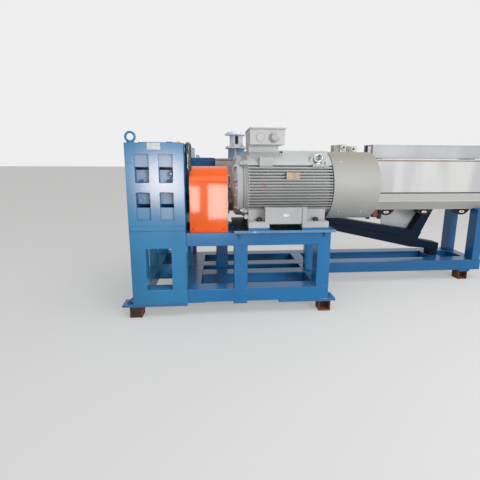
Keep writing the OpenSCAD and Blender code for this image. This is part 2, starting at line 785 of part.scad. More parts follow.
// Sheet panel standing on the brace, under the tray
module service_panel() {
    x0 = x_br - 417;
    x1 = x_br - 60;
    color([0.66, 0.67, 0.70])
    translate([0, brace_y1, 0]) rotate([90, 0, 0]) linear_extrude(8)
        polygon([[x0, brace_z(x0) + clr], [x1, brace_z(x1) + clr], [x_br + 15, z_tray - clr],
                 [x0, z_tray - clr]]);
}
module cable_duct() {
    color([0.72, 0.73, 0.75]) {
        span([x_duct, barrel_y - 110, shroud_top + 10],
             [x_sh1 - 40, barrel_y + 95, shroud_top + 148]);
        for (x = [x_duct + 65, x_sh1 - 140])
            span([x, barrel_y - 85, shroud_top], [x + 60, barrel_y + 75, shroud_top + 11]);
    }
}
module power_connectors() {
    color([0.62, 0.63, 0.64])
    // each has a hood with a round entry in front, and a lower cable end at its left
    for (c = [[1004, 72, 62, 151], [1108, 82, 22, 135]]) {
        top = shroud_top + c[3];
        span([c[0], barrel_y - 60, shroud_top], [c[0] + c[1], barrel_y + 50, top]);
        bar_y(barrel_y - 76, barrel_y - 60, c[0] + 36, top - 32, 46);
        span([c[0] - c[2], barrel_y - 45, shroud_top], [c[0], barrel_y + 35, top - 6]);
    }
}

place() square_bearers();
place() pedestal_panels();
place() pedestal_side_rails();
place() pedestal_mid_beam();
place() foot_plates();
place() gearbox_housing();
place() gearbox_top_cover();
place() gearbox_lifting_eye();
place() gearbox_bearing_covers();
place() oil_filter();
place() coupling_guard();
place() coupling();
place() frame_top_rails();
place() frame_bottom_rails();
place() frame_posts();
place() frame_cross_members();
place() motor_base_plate();
place() plate_gussets();
place() motor_pads();
place() motor_body();
place() motor_feet();
place() motor_end_shields();
place() fan_cowl();
place() cowl_grille();
place() terminal_box();
place() terminal_box_lid();
place() cable_gland();
place() motor_eyebolt();
place() blank_nameplate();
place() barrel_base_beams();
place() barrel_base_cross_members();
place() barrel_trestles();
place() thrust_housing();
place() barrel_cradle();
place() feed_throat();
place() hopper_spool();
place() barrel_tube();
place() barrel_end_flange();
place() shroud_cover();
place() shroud_tray();
place() zone_blowers();
place() barrel_brace();
place() service_panel();
place() cable_duct();
place() power_connectors();
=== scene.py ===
"""A plastic extruder: gearbox, coupling guard, drive motor and shrouded barrel on welded frames."""
import json
import math

import bmesh
import bpy
from mathutils import Matrix, Vector


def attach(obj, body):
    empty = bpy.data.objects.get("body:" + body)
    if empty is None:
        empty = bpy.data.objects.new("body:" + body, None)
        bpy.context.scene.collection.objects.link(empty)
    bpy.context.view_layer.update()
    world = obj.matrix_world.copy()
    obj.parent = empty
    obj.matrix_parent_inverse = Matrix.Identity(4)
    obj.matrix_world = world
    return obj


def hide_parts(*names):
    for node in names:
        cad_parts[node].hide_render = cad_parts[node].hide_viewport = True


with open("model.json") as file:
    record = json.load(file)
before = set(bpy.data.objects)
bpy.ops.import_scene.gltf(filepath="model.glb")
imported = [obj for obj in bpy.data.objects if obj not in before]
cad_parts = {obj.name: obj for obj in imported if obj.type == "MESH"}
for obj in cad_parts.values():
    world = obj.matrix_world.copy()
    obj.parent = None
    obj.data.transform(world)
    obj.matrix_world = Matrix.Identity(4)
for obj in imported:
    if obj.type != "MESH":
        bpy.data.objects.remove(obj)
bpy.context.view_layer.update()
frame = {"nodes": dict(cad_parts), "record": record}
nodes = frame["nodes"]

# The motor shaft, over the left end of the motor feet, is where the machine is measured from.
SHAFT = Vector((-0.830, -0.276, 1.056))
X = Vector((1.0, 0.0, 0.0))
Y = Vector((0.0, 1.0, 0.0))
Z = Vector((0.0, 0.0, 1.0))
FINS = 15


def at(x, y, z):
    """A point given in millimetres from the shaft."""
    return SHAFT + Vector((x, y, z)) / 1000


# Camera
def place_camera():
    lens = bpy.data.cameras.new("camera")
    lens.sensor_width = 36.0
    lens.lens = 23.55
    lens.shift_x = -0.0068
    lens.shift_y = -0.0500
    lens.clip_end = 200.0
    camera = bpy.data.objects.new("camera", lens)
    yaw, pitch, roll = 0.0770, 0.1754, 0.0043
    forward = Vector((math.sin(yaw) * math.cos(pitch), math.cos(yaw) * math.cos(pitch), -math.sin(pitch)))
    right = Vector((math.cos(yaw), -math.sin(yaw), 0.0))
    up = right.cross(forward)
    side = right * math.cos(roll) + up * math.sin(roll)
    top = up * math.cos(roll) - right * math.sin(roll)
    turn = Matrix((side, top, -forward)).transposed().to_4x4()
    camera.matrix_world = Matrix.Translation(at(-249.65, -2744.76, 215.83)) @ turn
    bpy.context.collection.objects.link(camera)
    bpy.context.scene.camera = camera


place_camera()


def srgb(red, green, blue, factor=1.0):
    """A colour read off a paint card, 0 to 255, or a lighter or darker mix of it, as light values."""
    card = [min(255, level * factor) for level in (red, green, blue)]
    return tuple(((c / 255 + 0.055) / 1.055) ** 2.4 if c > 10 else c / 3294.6 for c in card) + (1.0,)


class Wire:
    """One value in a material, so that shader maths reads as plain sums."""

    def __init__(self, finish, socket):
        self.finish = finish
        self.socket = socket

    def maths(self, operation, first, second=0.0):
        return self.finish.node("ShaderNodeMath", {"operation": operation}, {0: first, 1: second})

    def __add__(self, other):
        return self.maths("ADD", self, other)

    def __sub__(self, other):
        return self.maths("SUBTRACT", self, other)

    def __rsub__(self, other):
        return self.maths("SUBTRACT", other, self)

    def __mul__(self, other):
        return self.maths("MULTIPLY", self, other)

    __radd__ = __add__
    __rmul__ = __mul__

    def largest(self, other):
        return self.maths("MAXIMUM", self, other)

    def size(self):
        return self.maths("ABSOLUTE", self)

    def rise(self, low, high):
        """0 below low, 1 above high, smooth between."""
        values = {"Value": self, "From Min": low, "From Max": high}
        return self.finish.node("ShaderNodeMapRange", {"interpolation_type": "SMOOTHSTEP"}, values)


class Finish:
    """A material built on one principled shader. Patterns are in metres, in the machine's own place."""

    def __init__(self, name, **sockets):
        self.material = bpy.data.materials.new(name)
        self.material.use_nodes = True
        self.tree = self.material.node_tree
        self.shader = self.tree.nodes["Principled BSDF"]
        for socket, value in sockets.items():
            self.shader.inputs[socket.replace("_", " ")].default_value = value
        self.place = self.node("ShaderNodeTexCoord", {}, {}, "Object")
        self.normal = self.node("ShaderNodeNewGeometry", {}, {}, "Normal")
        self.relief = None
        self.dull = 0.0

    def node(self, kind, settings, values, output=0):
        added = self.tree.nodes.new(kind)
        for key, value in settings.items():
            setattr(added, key, value)
        for key, value in values.items():
            if isinstance(value, Wire):
                self.tree.links.new(value.socket, added.inputs[key])
            else:
                added.inputs[key].default_value = value
        return Wire(self, added.outputs[output])

    def feed(self, socket, value):
        if isinstance(value, Wire):
            self.tree.links.new(value.socket, self.shader.inputs[socket])
        else:
            self.shader.inputs[socket].default_value = value

    def noise(self, scale, detail=2.0, rough=0.5, warp=0.0, stretch=None):
        place = self.place
        if stretch:
            place = self.node("ShaderNodeVectorMath", {"operation": "MULTIPLY"}, {0: place, 1: stretch})
        values = {"Vector": place, "Scale": scale, "Detail": detail, "Roughness": rough, "Distortion": warp}
        return self.node("ShaderNodeTexNoise", {}, values, "Fac")

    def cells(self, scale):
        return self.node("ShaderNodeTexVoronoi", {}, {"Vector": self.place, "Scale": scale}, "Distance")

    def along(self, axis):
        return self.node("ShaderNodeSeparateXYZ", {}, {0: self.place}, axis)

    def facing(self, axis):
        """How far the surface looks along that axis."""
        return self.node("ShaderNodeSeparateXYZ", {}, {0: self.normal}, axis)

    def hollow(self, distance):
        """1 in the open, towards 0 in grooves and corners."""
        return self.node("ShaderNodeAmbientOcclusion", {"samples": 6}, {"Distance": distance}, "AO")

    def eased(self, radius):
        """The surface's direction with its edges rounded over, and a mask that is 1 on those edges."""
        rounded = self.node("ShaderNodeBevel", {"samples": 4}, {"Radius": radius})
        values = {0: rounded, 1: self.normal}
        dot = self.node("ShaderNodeVectorMath", {"operation": "DOT_PRODUCT"}, values, "Value")
        self.relief = rounded
        self.feed("Normal", rounded)
        return (1.0 - dot).rise(0.01, 0.12)

    def mix(self, factor, first, second):
        return self.node("ShaderNodeMix", {"data_type": "RGBA"}, {0: factor, 6: first, 7: second}, 2)

    def bump(self, height, distance, strength=1.0):
        values = {"Height": height, "Distance": distance, "Strength": strength}
        if self.relief:
            values["Normal"] = self.relief
        self.relief = self.node("ShaderNodeBump", {}, values)
        self.feed("Normal", self.relief)

    def near(self, point, reach):
        """1 at a point of the machine, falling to 0 at that reach in metres."""
        values = {0: self.place, 1: tuple(point)}
        distance = self.node("ShaderNodeVectorMath", {"operation": "DISTANCE"}, values, "Value")
        return 1.0 - distance.rise(0.0, reach)

    def past(self, axis, low, high):
        """0 before one place along the machine and 1 past the other, in millimetres from the shaft."""
        origin = SHAFT["XYZ".index(axis)]
        return self.along(axis).rise(origin + low / 1000, origin + high / 1000)

    def within(self, axis, low, high, soft=4):
        """1 between two places along the machine, in millimetres from the shaft."""
        return self.past(axis, low - soft, low + soft) * (1.0 - self.past(axis, high - soft, high + soft))

    def done(self, base, roughness, coat=0.0):
        """Feeds the shader its colour, gloss and clear coat."""
        self.feed("Base Color", base)
        self.feed("Roughness", roughness)
        self.feed("Coat Weight", coat)
        return self.material


DUST = (150, 148, 142)
RUST = (112, 62, 34)
PRIMER = (214, 214, 206)


def painted(
    name, colour, rough, coat, dust=0.1, hollow_shade=0.2, chips=0.2, peel=0.1, extra=None, haze=0.12, shine=0.3,
):
    """Sprayed machine paint: slow changes of shade, dust on what faces up, painted shade in corners, bare
    edges.
    """
    finish = Finish(name, Specular_IOR_Level=shine, Coat_Roughness=haze)
    edges = finish.eased(0.0035)
    slow = finish.noise(2.2, 3.0, 0.55)
    specks = finish.noise(45.0, 4.0, 0.65)
    base = finish.mix(slow.rise(0.30, 0.72), srgb(*colour, 1.04), srgb(*colour, 0.94))
    # painted shade: a darker copy of the paint in corners and grooves, found by ambient occlusion
    shade_in_hollows = (1.0 - finish.hollow(0.06).rise(0.25, 0.90)) * hollow_shade
    base = finish.mix(shade_in_hollows, base, srgb(*colour, 0.40))
    up = finish.facing("Z").rise(0.6, 0.95)
    base = finish.mix(up * specks.rise(0.38, 0.70) * dust, base, srgb(*DUST))
    worn = edges * finish.noise(38.0, 3.0, 0.6).rise(0.46, 0.58)
    base = finish.mix(worn * chips, base, srgb(*[min(255, c + 78) for c in colour]))
    roughness = rough + 0.10 * specks + up * dust * 0.35
    if extra:
        base, roughness = extra(finish, base, roughness)
    finish.bump(finish.noise(420.0, 2.0, 0.5), 0.0004, peel)
    finish.bump(finish.noise(9.0, 2.0, 0.5), 0.003, 0.10)
    return finish.done(base, roughness, coat * (1.0 - up * dust) * (1.0 - finish.dull))


def cast_marks(finish, base, roughness):
    """Sand cast skin inside the stepped front pockets, their front faces paled by a painted reflection of
    the window, their ledges and walls darkened by painted shade, and scuffs on the big flat faces.
    """
    pocket = finish.within("Y", -298, -186, 2) * finish.within("X", -942, -527)
    pocket = pocket * finish.within("Z", -320, 335)
    flat = finish.node("ShaderNodeNewGeometry", {}, {}, "True Normal")
    forward = (-1.0 * finish.node("ShaderNodeSeparateXYZ", {}, {0: flat}, "Y")).rise(0.80, 0.98)
    skin = pocket * forward * (1.0 - finish.past("Y", -258, -254))
    sand = finish.noise(60.0, 4.0, 0.7).rise(0.46, 0.70)
    base = finish.mix(skin * sand * 0.14, base, srgb(150, 184, 214))
    # painted reflection of the window: the front faces of the pocket floors are paled, more so high up and
    # on the right
    high = finish.past("Z", -250, 50)
    right = finish.past("X", -760, -700)
    base = finish.mix(skin * (0.22 + 0.40 * high + 0.22 * right), base, srgb(196, 208, 224))
    # painted shade on the ledges and side walls inside the pockets
    base = finish.mix((pocket - skin) * 0.85, base, srgb(22, 104, 164))
    finish.dull = pocket * 0.95
    finish.bump(finish.cells(120.0) * skin, 0.0010, 0.22)
    scuffs = finish.noise(14.0, 5.0, 0.75, 0.6, (1.0, 1.0, 0.35)).rise(0.62, 0.70)
    base = finish.mix(scuffs * 0.07, base, srgb(214, 222, 232))
    return base, roughness + scuffs * 0.12 + pocket * 0.3 + (pocket - skin) * 0.3


def frame_marks(finish, base, roughness):
    """Worn front edge of the motor plate with a painted highlight along it, painted shade towards the rear,
    a painted dark reflection and shadow on the plate top by the motor, painted light on the feed throat, and
    rust low down.
    """
    patch = finish.near(at(32, -318, -355), 0.060)
    flakes = finish.noise(150.0, 5.0, 0.7)
    base = finish.mix((patch * flakes).rise(0.34, 0.52) * 0.6, base, srgb(*PRIMER))
    # painted shade: the frame is darkened towards the rear, below the barrel
    behind = finish.past("Y", 290, 330) * (1.0 - finish.past("Z", 60, 90))
    base = finish.mix(behind * 0.45, base, srgb(16, 62, 108))
    # the motor plate's front edge is lightened: a painted highlight along it, with patches of worn paint
    edge = finish.within("Z", -358, -337, 1) * (1.0 - finish.past("Y", -316, -312))
    base = finish.mix(edge * (0.12 + 0.4 * flakes.rise(0.45, 0.6)), base, srgb(176, 196, 212))
    # painted light: the feed throat above the frame is lightened
    base = finish.mix(finish.past("Z", 200, 215) * 0.8, base, srgb(164, 196, 216))
    low = 1.0 - finish.past("Z", -956, -886)
    rust = (low * finish.noise(30.0, 5.0, 0.7)).rise(0.46, 0.62)
    base = finish.mix(rust * 0.25, base, srgb(*RUST))
    # painted reflection and shadow: the plate top beside the motor takes a painted dark reflection of its
    # underside, and between the feet a painted shadow of the motor
    top = finish.facing("Z").rise(0.8, 0.95) * finish.within("Z", -356, -326)
    base = finish.mix(top * finish.within("X", -134, -22), base, srgb(30, 38, 50))
    base = finish.mix(top * finish.within("X", 188, 428) * 0.9, base, srgb(10, 18, 26))
    return base, roughness + rust * 0.3


def thrust_housing_lightened(finish, base, roughness):
    """Painted light: the thrust housing is a lighter mix of the same blue than the brace and covers."""
    return finish.mix(1.0 - finish.past("X", -280, -275), base, srgb(58, 104, 148)), roughness


def orange_paint():
    """High gloss orange over thin folded sheet, a little wavy, so that the windows swim in it."""
    finish = Finish("guard_paint", Specular_IOR_Level=0.05, Coat_Roughness=0.065)
    edges = finish.eased(0.003)
    slow = finish.noise(3.0, 2.0, 0.5)
    base = finish.mix(slow.rise(0.3, 0.7), srgb(252, 101, 0), srgb(244, 93, 0))
    # painted highlight along the sheet's edges and creases
    base = finish.mix(edges * 0.5, base, srgb(255, 132, 60))
    # painted shade on the faces turned along the machine, towards the gearbox and the motor
    side_shade = finish.facing("X").size().rise(0.80, 0.95)
    base = finish.mix(side_shade * 0.75, base, srgb(120, 40, 4))
    finish.bump(finish.noise(4.2, 1.0, 0.4, 0.0, (1.0, 1.0, 0.8)), 0.012, 0.42)
    return finish.done(base, 0.24 + 0.05 * slow, 0.6)


def cast_grey(name, colour, hollow_shade=0.14, fins=0.0):
    """Light machine grey over a cast or pressed surface: fine grain, painted shade over the finned band and
    in grooves, painted light on the top and on faces turned to the guard, painted highlights on the fin ends
    and edges, and a darker lid top.
    """
    finish = Finish(name, Specular_IOR_Level=0.45, Coat_Roughness=0.25)
    edges = finish.eased(0.0025)
    slow = finish.noise(3.5, 3.0, 0.55)
    base = finish.mix(slow.rise(0.30, 0.72), srgb(*colour, 1.02), srgb(*colour, 0.95))
    if fins:
        # painted shade over the finned band, painted light above it, and a painted highlight on the left
        # ends of the fins
        finned = finish.within("Z", -176, 176)
        base = finish.mix(finned * fins, base, srgb(120, 121, 120))
        base = finish.mix(finish.past("Z", 285, 300) * 0.4, base, srgb(214, 214, 216))
        base = finish.mix(finned * finish.within("X", -30, -11) * 0.6, base, srgb(216, 216, 214))
        lid = finish.past("Z", 452, 456) * finish.facing("Z").rise(0.5, 0.9)
        base = finish.mix(lid * 0.6, base, srgb(150, 150, 152))
        marks = finish.near(at(110, -290, 10), 0.030) * finish.noise(110.0, 3.0, 0.6)
        base = finish.mix(marks.rise(0.16, 0.30) * 0.6, base, srgb(196, 92, 84))
    else:
        # painted light: faces turned to the guard, left of the shield's rim, are whitened
        side = (-1.0 * finish.facing("X")).rise(0.1, 0.8) * (1.0 - finish.past("X", -50, -48))
        base = finish.mix(side * 0.9, base, srgb(248, 255, 254))
    # painted shade: a darker copy of the grey in corners and between the fins, found by ambient occlusion
    shade_in_hollows = (1.0 - finish.hollow(0.03).rise(0.15, 0.95)) * hollow_shade
    base = finish.mix(shade_in_hollows, base, srgb(*colour, 0.52))
    streaks = finish.noise(26.0, 4.0, 0.7, 0.3, (0.25, 1.0, 1.0)).rise(0.60, 0.72)
    base = finish.mix(streaks * 0.22, base, srgb(*colour, 0.84))
    # painted highlight along the edges
    base = finish.mix(edges * 0.25, base, srgb(*colour, 1.12))
    finish.bump(finish.noise(260.0, 3.0, 0.6), 0.0005, 0.22)
    return finish.done(base, 0.44 + 0.08 * slow, 0.10)


def cowl_paint():
    """The same grey on rolled sheet, browner on what faces up, with a painted greenish reflection of the
    floor on what faces down and painted highlights on the edges.
    """
    finish = Finish("cowl_paint", Specular_IOR_Level=0.35, Coat_Roughness=0.3)
    edges = finish.eased(0.0025)
    slow = finish.noise(2.5, 3.0, 0.5)
    base = finish.mix(slow.rise(0.3, 0.7), srgb(173, 173, 171), srgb(165, 165, 163))
    up = finish.facing("Z").rise(0.30, 0.95)
    base = finish.mix(up * 0.75, base, srgb(146, 138, 122))
    # painted reflection of the floor: what faces down is greener and darker
    down = (-1.0 * finish.facing("Z")).rise(0.10, 0.90)
    base = finish.mix(down * 0.45, base, srgb(136, 144, 138))
    # painted highlight along the edges
    base = finish.mix(edges * 0.5, base, srgb(222, 222, 216))
    finish.bump(finish.noise(300.0, 2.0, 0.5), 0.0003, 0.15)
    return finish.done(base, 0.50 + 0.08 * slow, 0.05)


def sheet_white():
    """White powder coat on long folded sheets, slightly wavy along their length."""
    finish = Finish("shroud_paint", Specular_IOR_Level=0.5, Coat_Roughness=0.15)
    edges = finish.eased(0.002)
    # the sheet's waves, and painted reflections in long bands of lighter and darker white
    waves_and_reflection_bands = finish.noise(5.2, 1.5, 0.4, 0.0, (1.0, 0.2, 0.12))
    base = finish.mix(waves_and_reflection_bands.rise(0.36, 0.64), srgb(204, 204, 203), srgb(184, 182, 185))
    tray = 1.0 - finish.past("Z", -112, -106)
    base = finish.mix(tray * 0.9, base, srgb(174, 174, 173))
    low = 1.0 - finish.past("Z", -204, -196)
    base = finish.mix(low * 0.85, base, srgb(170, 166, 164))
    # painted highlight along the edges
    base = finish.mix(edges * 0.3, base, srgb(240, 240, 236))
    # painted shade: a brownish darkening in corners and folds, found by ambient occlusion
    shade_in_hollows = 1.0 - finish.hollow(0.04).rise(0.2, 0.9)
    base = finish.mix(shade_in_hollows * 0.25, base, srgb(140, 132, 122))
    finish.bump(waves_and_reflection_bands, 0.02, 0.12)
    finish.bump(finish.noise(300.0, 2.0, 0.5), 0.0003, 0.12)
    return finish.done(base, 0.34 + 0.10 * waves_and_reflection_bands, 0.25)


def rusted():
    """Old square tube: scale and orange rust, and a thin paler line along every edge, partly a painted
    highlight and partly bare steel where the saw cut its ends.
    """
    finish = Finish("rusty_steel")
    edges = finish.eased(0.003)
    blotch = finish.noise(18.0, 6.0, 0.75, 0.5)
    fine = finish.noise(140.0, 4.0, 0.7)
    base = finish.mix(blotch.rise(0.36, 0.60), srgb(74, 54, 44), srgb(132, 76, 40))
    base = finish.mix(fine.rise(0.58, 0.70) * 0.7, base, srgb(170, 104, 58))
    inside = finish.facing("Z").rise(0.5, 0.9) * finish.past("X", 330, 430)
    base = finish.mix(inside * 0.6, base, srgb(170, 92, 44))
    # pale line on every edge: a painted highlight, and bare steel where the saw cut the ends
    base = finish.mix(edges * 0.6, base, srgb(190, 176, 160))
    finish.bump(blotch, 0.003, 0.35)
    finish.bump(fine, 0.0012, 0.6)
    return finish.done(base, 0.78 + 0.18 * fine)


def metal(name, colour, rough, stain=0.25):
    """Bare or plated steel with turning marks and a few brown stains."""
    finish = Finish(name, Metallic=1.0)
    finish.eased(0.0015)
    slow = finish.noise(22.0, 4.0, 0.65)
    base = finish.mix(slow.rise(0.3, 0.75), srgb(*colour), srgb(*colour, 0.84))
    spots = finish.noise(70.0, 5.0, 0.7).rise(0.60, 0.72)
    base = finish.mix(spots * stain, base, srgb(*RUST))
    finish.bump(finish.noise(500.0, 2.0, 0.5, 0.0, (0.1, 1.0, 1.0)), 0.0002, 0.3)
    return finish.done(base, rough + 0.14 * slow + 0.25 * spots)


def moulded(name, colour, rough, sheen=0.0):
    """Moulded plastic, rubber or printed paper: faint grain and handling marks."""
    finish = Finish(name, Coat_Roughness=0.2)
    finish.eased(0.002)
    slow = finish.noise(16.0, 4.0, 0.6)
    base = finish.mix(slow.rise(0.3, 0.75), srgb(*colour), srgb(*colour, 0.88))
    finish.bump(finish.noise(380.0, 2.0, 0.5), 0.0003, 0.2)
    return finish.done(base, rough + 0.10 * slow, sheen)


def wrapping_film():
    """Dark plastic film drawn tight round a pipe, all sharp creases."""
    finish = Finish("wrapping_film", Coat_Roughness=0.06)
    creases = finish.noise(34.0, 3.0, 0.7, 1.6, (1.0, 1.0, 0.45))
    base = finish.mix(creases.rise(0.42, 0.62), srgb(14, 18, 24), srgb(62, 70, 82))
    finish.bump(creases, 0.008, 0.8)
    return finish.done(base, 0.16 + 0.2 * creases, 0.8)


FINISHES = {
    "gearbox_blue": painted(
        "gearbox_paint", (38, 128, 178), 0.46, 0.6, 0.3, 0.4, 0.3, 0.12,
        extra=cast_marks, haze=0.19, shine=0.12,
    ),
    "frame_blue": painted("frame_paint", (22, 112, 170), 0.24, 0.35, 0.12, 0.5, 0.4, extra=frame_marks),
    # a dark navy paint, darkened further with painted shade for the brace and covers that stand in shadow
    "dark_blue": painted(
        "shaded_blue_paint", (2, 24, 44), 0.42, 0.0, hollow_shade=0.5, extra=thrust_housing_lightened, haze=0.2, shine=0.12,
    ),
    "guard_orange": orange_paint(),
    "motor_grey": cast_grey("motor_paint", (180, 182, 183), 0.04, 0.36),
    "motor_cast": cast_grey("motor_cast_paint", (178, 180, 182)),
    "cowl_grey": cowl_paint(),
    "shroud_white": sheet_white(),
    "duct_grey": painted("duct_paint", (180, 182, 184), 0.36, 0.1),
    "panel_grey": painted("panel_paint", (186, 188, 192), 0.30, 0.2),
    "spool_paint": painted("spool_paint", (232, 236, 245), 0.34, 0.2, hollow_shade=0.25),
    "black_parts": painted("black_paint", (10, 11, 12), 0.50, 0.0, 0.08, 0.3, 0.15),
    "rusty_steel": rusted(),
    "bare_steel": metal("bare_steel", (150, 150, 152), 0.32),
    "zinc": metal("zinc_plate", (196, 204, 206), 0.26, 0.05),
    "filter_grey": wrapping_film(),
    "gland_grey": moulded("gland_plastic", (182, 184, 186), 0.34, 0.1),
    "connector_grey": moulded("connector_plastic", (208, 206, 200), 0.42),
    "buff_plate": metal("buff_plate", (156, 142, 124), 0.50, 0.35),
    "paper": moulded("label_paper", (240, 238, 240), 0.7),
    "black_steel": metal("black_bolt", (64, 62, 60), 0.42, 0.35),
    "rubber": moulded("black_rubber", (26, 26, 28), 0.6),
    "red_print": moulded("red_print", (190, 44, 50), 0.5),
    "brown_seal": moulded("brown_seal", (150, 122, 98), 0.6),
    # painted highlight along the tray's bend
    "bend_highlight_cream": moulded("bend_highlight_cream", (238, 226, 200), 0.5),
    "glass": moulded("sight_glass", (150, 120, 60), 0.08, 1.0),
    "cable_end": moulded("cable_end", (168, 168, 162), 0.5),
    "hose_brown": moulded("brown_hose", (112, 62, 48), 0.5),
    # painted shade inside the bearer tubes
    "tube_shadow_brown": moulded("tube_shadow_brown", (52, 42, 38), 0.85),
}

for part in frame["record"]["subparts"]:
    node = nodes[part["node"]]
    node.data.materials.clear()
    node.data.materials.append(FINISHES[part["material_slot"]])


# Ways of shaping
def placed(x, y, z, axis=Z, spin=0.0):
    """A place on the machine, in millimetres from the shaft, turned so that its own Z runs along axis."""
    turn = Z.rotation_difference(axis).to_matrix().to_4x4()
    return Matrix.Translation(at(x, y, z)) @ turn @ Matrix.Rotation(spin, 4, "Z")


def shifted(place, x, y, z):
    """The same place moved along its own axes, in millimetres."""
    return place @ Matrix.Translation((x / 1000, y / 1000, z / 1000))


def around(count, radius, start=0.5):
    """The angle and both offsets of each place on a bolt circle, the first a part of a step round."""
    for i in range(count):
        a = math.tau * (i + start) / count
        yield a, radius * math.cos(a), radius * math.sin(a)


def made(name, bm, slot, finish=None, replaces=(), smooth=32.0):
    """Turns a finished bmesh into a piece of the machine."""
    bmesh.ops.recalc_face_normals(bm, faces=bm.faces)
    mesh = bpy.data.meshes.new(name)
    bm.to_mesh(mesh)
    bm.free()
    mesh.polygons.foreach_set("use_smooth", [True] * len(mesh.polygons))
    mesh.set_sharp_from_angle(angle=math.radians(smooth))
    mesh.materials.append(FINISHES[finish or slot])
    piece = bpy.data.objects.new(name, mesh)
    bpy.context.collection.objects.link(piece)
    shading = piece.modifiers.new("even_shading", "WEIGHTED_NORMAL")
    shading.keep_sharp = True
    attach(piece, "root")
    if replaces:
        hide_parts(*replaces)
    return piece


def edges_of(verts):
    return list({edge for vert in verts for edge in vert.link_edges})


def ease(bm, edges, width, segments=2):
    """Rounds edges over by that many millimetres."""
    bmesh.ops.bevel(
        bm, geom=edges, offset=width / 1000, offset_type="OFFSET", segments=segments,
        profile=0.5, affect="EDGES", material=-1, clamp_overlap=True,
    )


def slab(bm, place, size, width, segments=2):
    """A box round the middle of its place, in metres, with its edges eased by millimetres."""
    verts = bmesh.ops.create_cube(bm, size=1.0, matrix=place @ Matrix.Diagonal((*size, 1.0)))["verts"]
    if width:
        ease(bm, edges_of(verts), width, segments)


def block(bm, low, high, width=1.5, segments=2):
    """A box between two corners, in millimetres from the shaft, with eased edges."""
    a, b = at(*low), at(*high)
    slab(bm, Matrix.Translation((a + b) / 2), b - a, width, segments)


def disc(bm, place, radius, height, steps=40, width=0.0, top=None):
    """A round boss standing on its place, in millimetres, with its outer rim eased."""
    matrix = shifted(place, 0, 0, height / 2)
    boss = bmesh.ops.create_cone(
        bm, cap_ends=True, segments=steps, radius1=radius / 1000,
        radius2=(radius if top is None else top) / 1000, depth=height / 1000, matrix=matrix,
    )
    if width:
        axis = place.to_3x3() @ Z
        middle = matrix.translation
        outer = [v for v in boss["verts"] if (v.co - middle).dot(axis) > 0]
        rim = [e for e in edges_of(outer) if all((v.co - middle).dot(axis) > 0 for v in e.verts)]
        ease(bm, rim, width)


def hex_bolt(bm, place, across, height):
    """A hexagon head on its washer, its corners chamfered."""
    seat = across * 0.12
    disc(bm, place, across * 0.66, seat, 24)
    disc(bm, shifted(place, 0, 0, seat), across / math.sqrt(3), height * 0.82, 6)
    crown = shifted(place, 0, 0, seat + height * 0.82)
    disc(bm, crown, across / math.sqrt(3), height * 0.18, 6, top=across * 0.47)


def socket_screw(bm, place, radius, height):
    """A cap screw with its hexagon socket."""
    disc(bm, place, radius, height, 20, height * 0.12)
    disc(bm, shifted(place, 0, 0, height + 0.05), radius * 0.52, 0.2, 6)


def dome_screw(bm, place, radius, height):
    """A domed head, turned from a short arc."""
    share = [(1.0, 0.0), (0.94, 0.45), (0.66, 0.85), (0.0, 1.0)]
    turned(bm, place, [(radius * across, height * up) for across, up in share], 16)


def turned(bm, place, outline, steps=64):
    """Spins an outline of (radius, height) points, in millimetres, round the place's own Z."""
    verts = [bm.verts.new(place @ Vector((r / 1000, 0, h / 1000))) for r, h in outline]
    edges = [bm.edges.new(pair) for pair in zip(verts, verts[1:])]
    start = len(bm.verts)
    axis = place.to_3x3() @ Z
    bmesh.ops.spin(
        bm, geom=verts + edges, cent=place.translation, axis=axis, angle=math.tau,
        steps=steps, use_merge=True, dvec=(0, 0, 0),
    )
    bm.verts.ensure_lookup_table()
    fresh = verts + [v for v in bm.verts[start:] if v.is_valid]
    bmesh.ops.remove_doubles(bm, verts=list(dict.fromkeys(fresh)), dist=1e-6)


def ring(bm, place, radius, thick, steps=64, sides=10):
    """A round wire ring lying flat in its place."""
    stand = shifted(place, radius, 0, 0) @ Matrix.Rotation(math.pi / 2, 4, "X")
    verts = bmesh.ops.create_circle(bm, segments=sides, radius=thick / 1000, matrix=stand)["verts"]
    axis = place.to_3x3() @ Z
    bmesh.ops.spin(
        bm, geom=verts + edges_of(verts), cent=place.translation, axis=axis, angle=math.tau,
        steps=steps, use_merge=True, dvec=(0, 0, 0),
    )


def plate(bm, outline, front, rear):
    """A flat plate cut to an outline of (x, z) points, standing between two depths."""
    near = [bm.verts.new(at(x, front, z)) for x, z in outline]
    far = [bm.verts.new(at(x, rear, z)) for x, z in outline]
    bm.faces.new(near)
    bm.faces.new(far)
    count = len(outline)
    for i in range(count):
        j = (i + 1) % count
        bm.faces.new((near[i], near[j], far[j], far[i]))


def rod(bm, start, end, radius, sides=12):
    """A straight round bar between two points."""
    a, b = at(*start), at(*end)
    place = Matrix.Translation(a) @ Z.rotation_difference(b - a).to_matrix().to_4x4()
    disc(bm, place, radius, (b - a).length * 1000, sides)


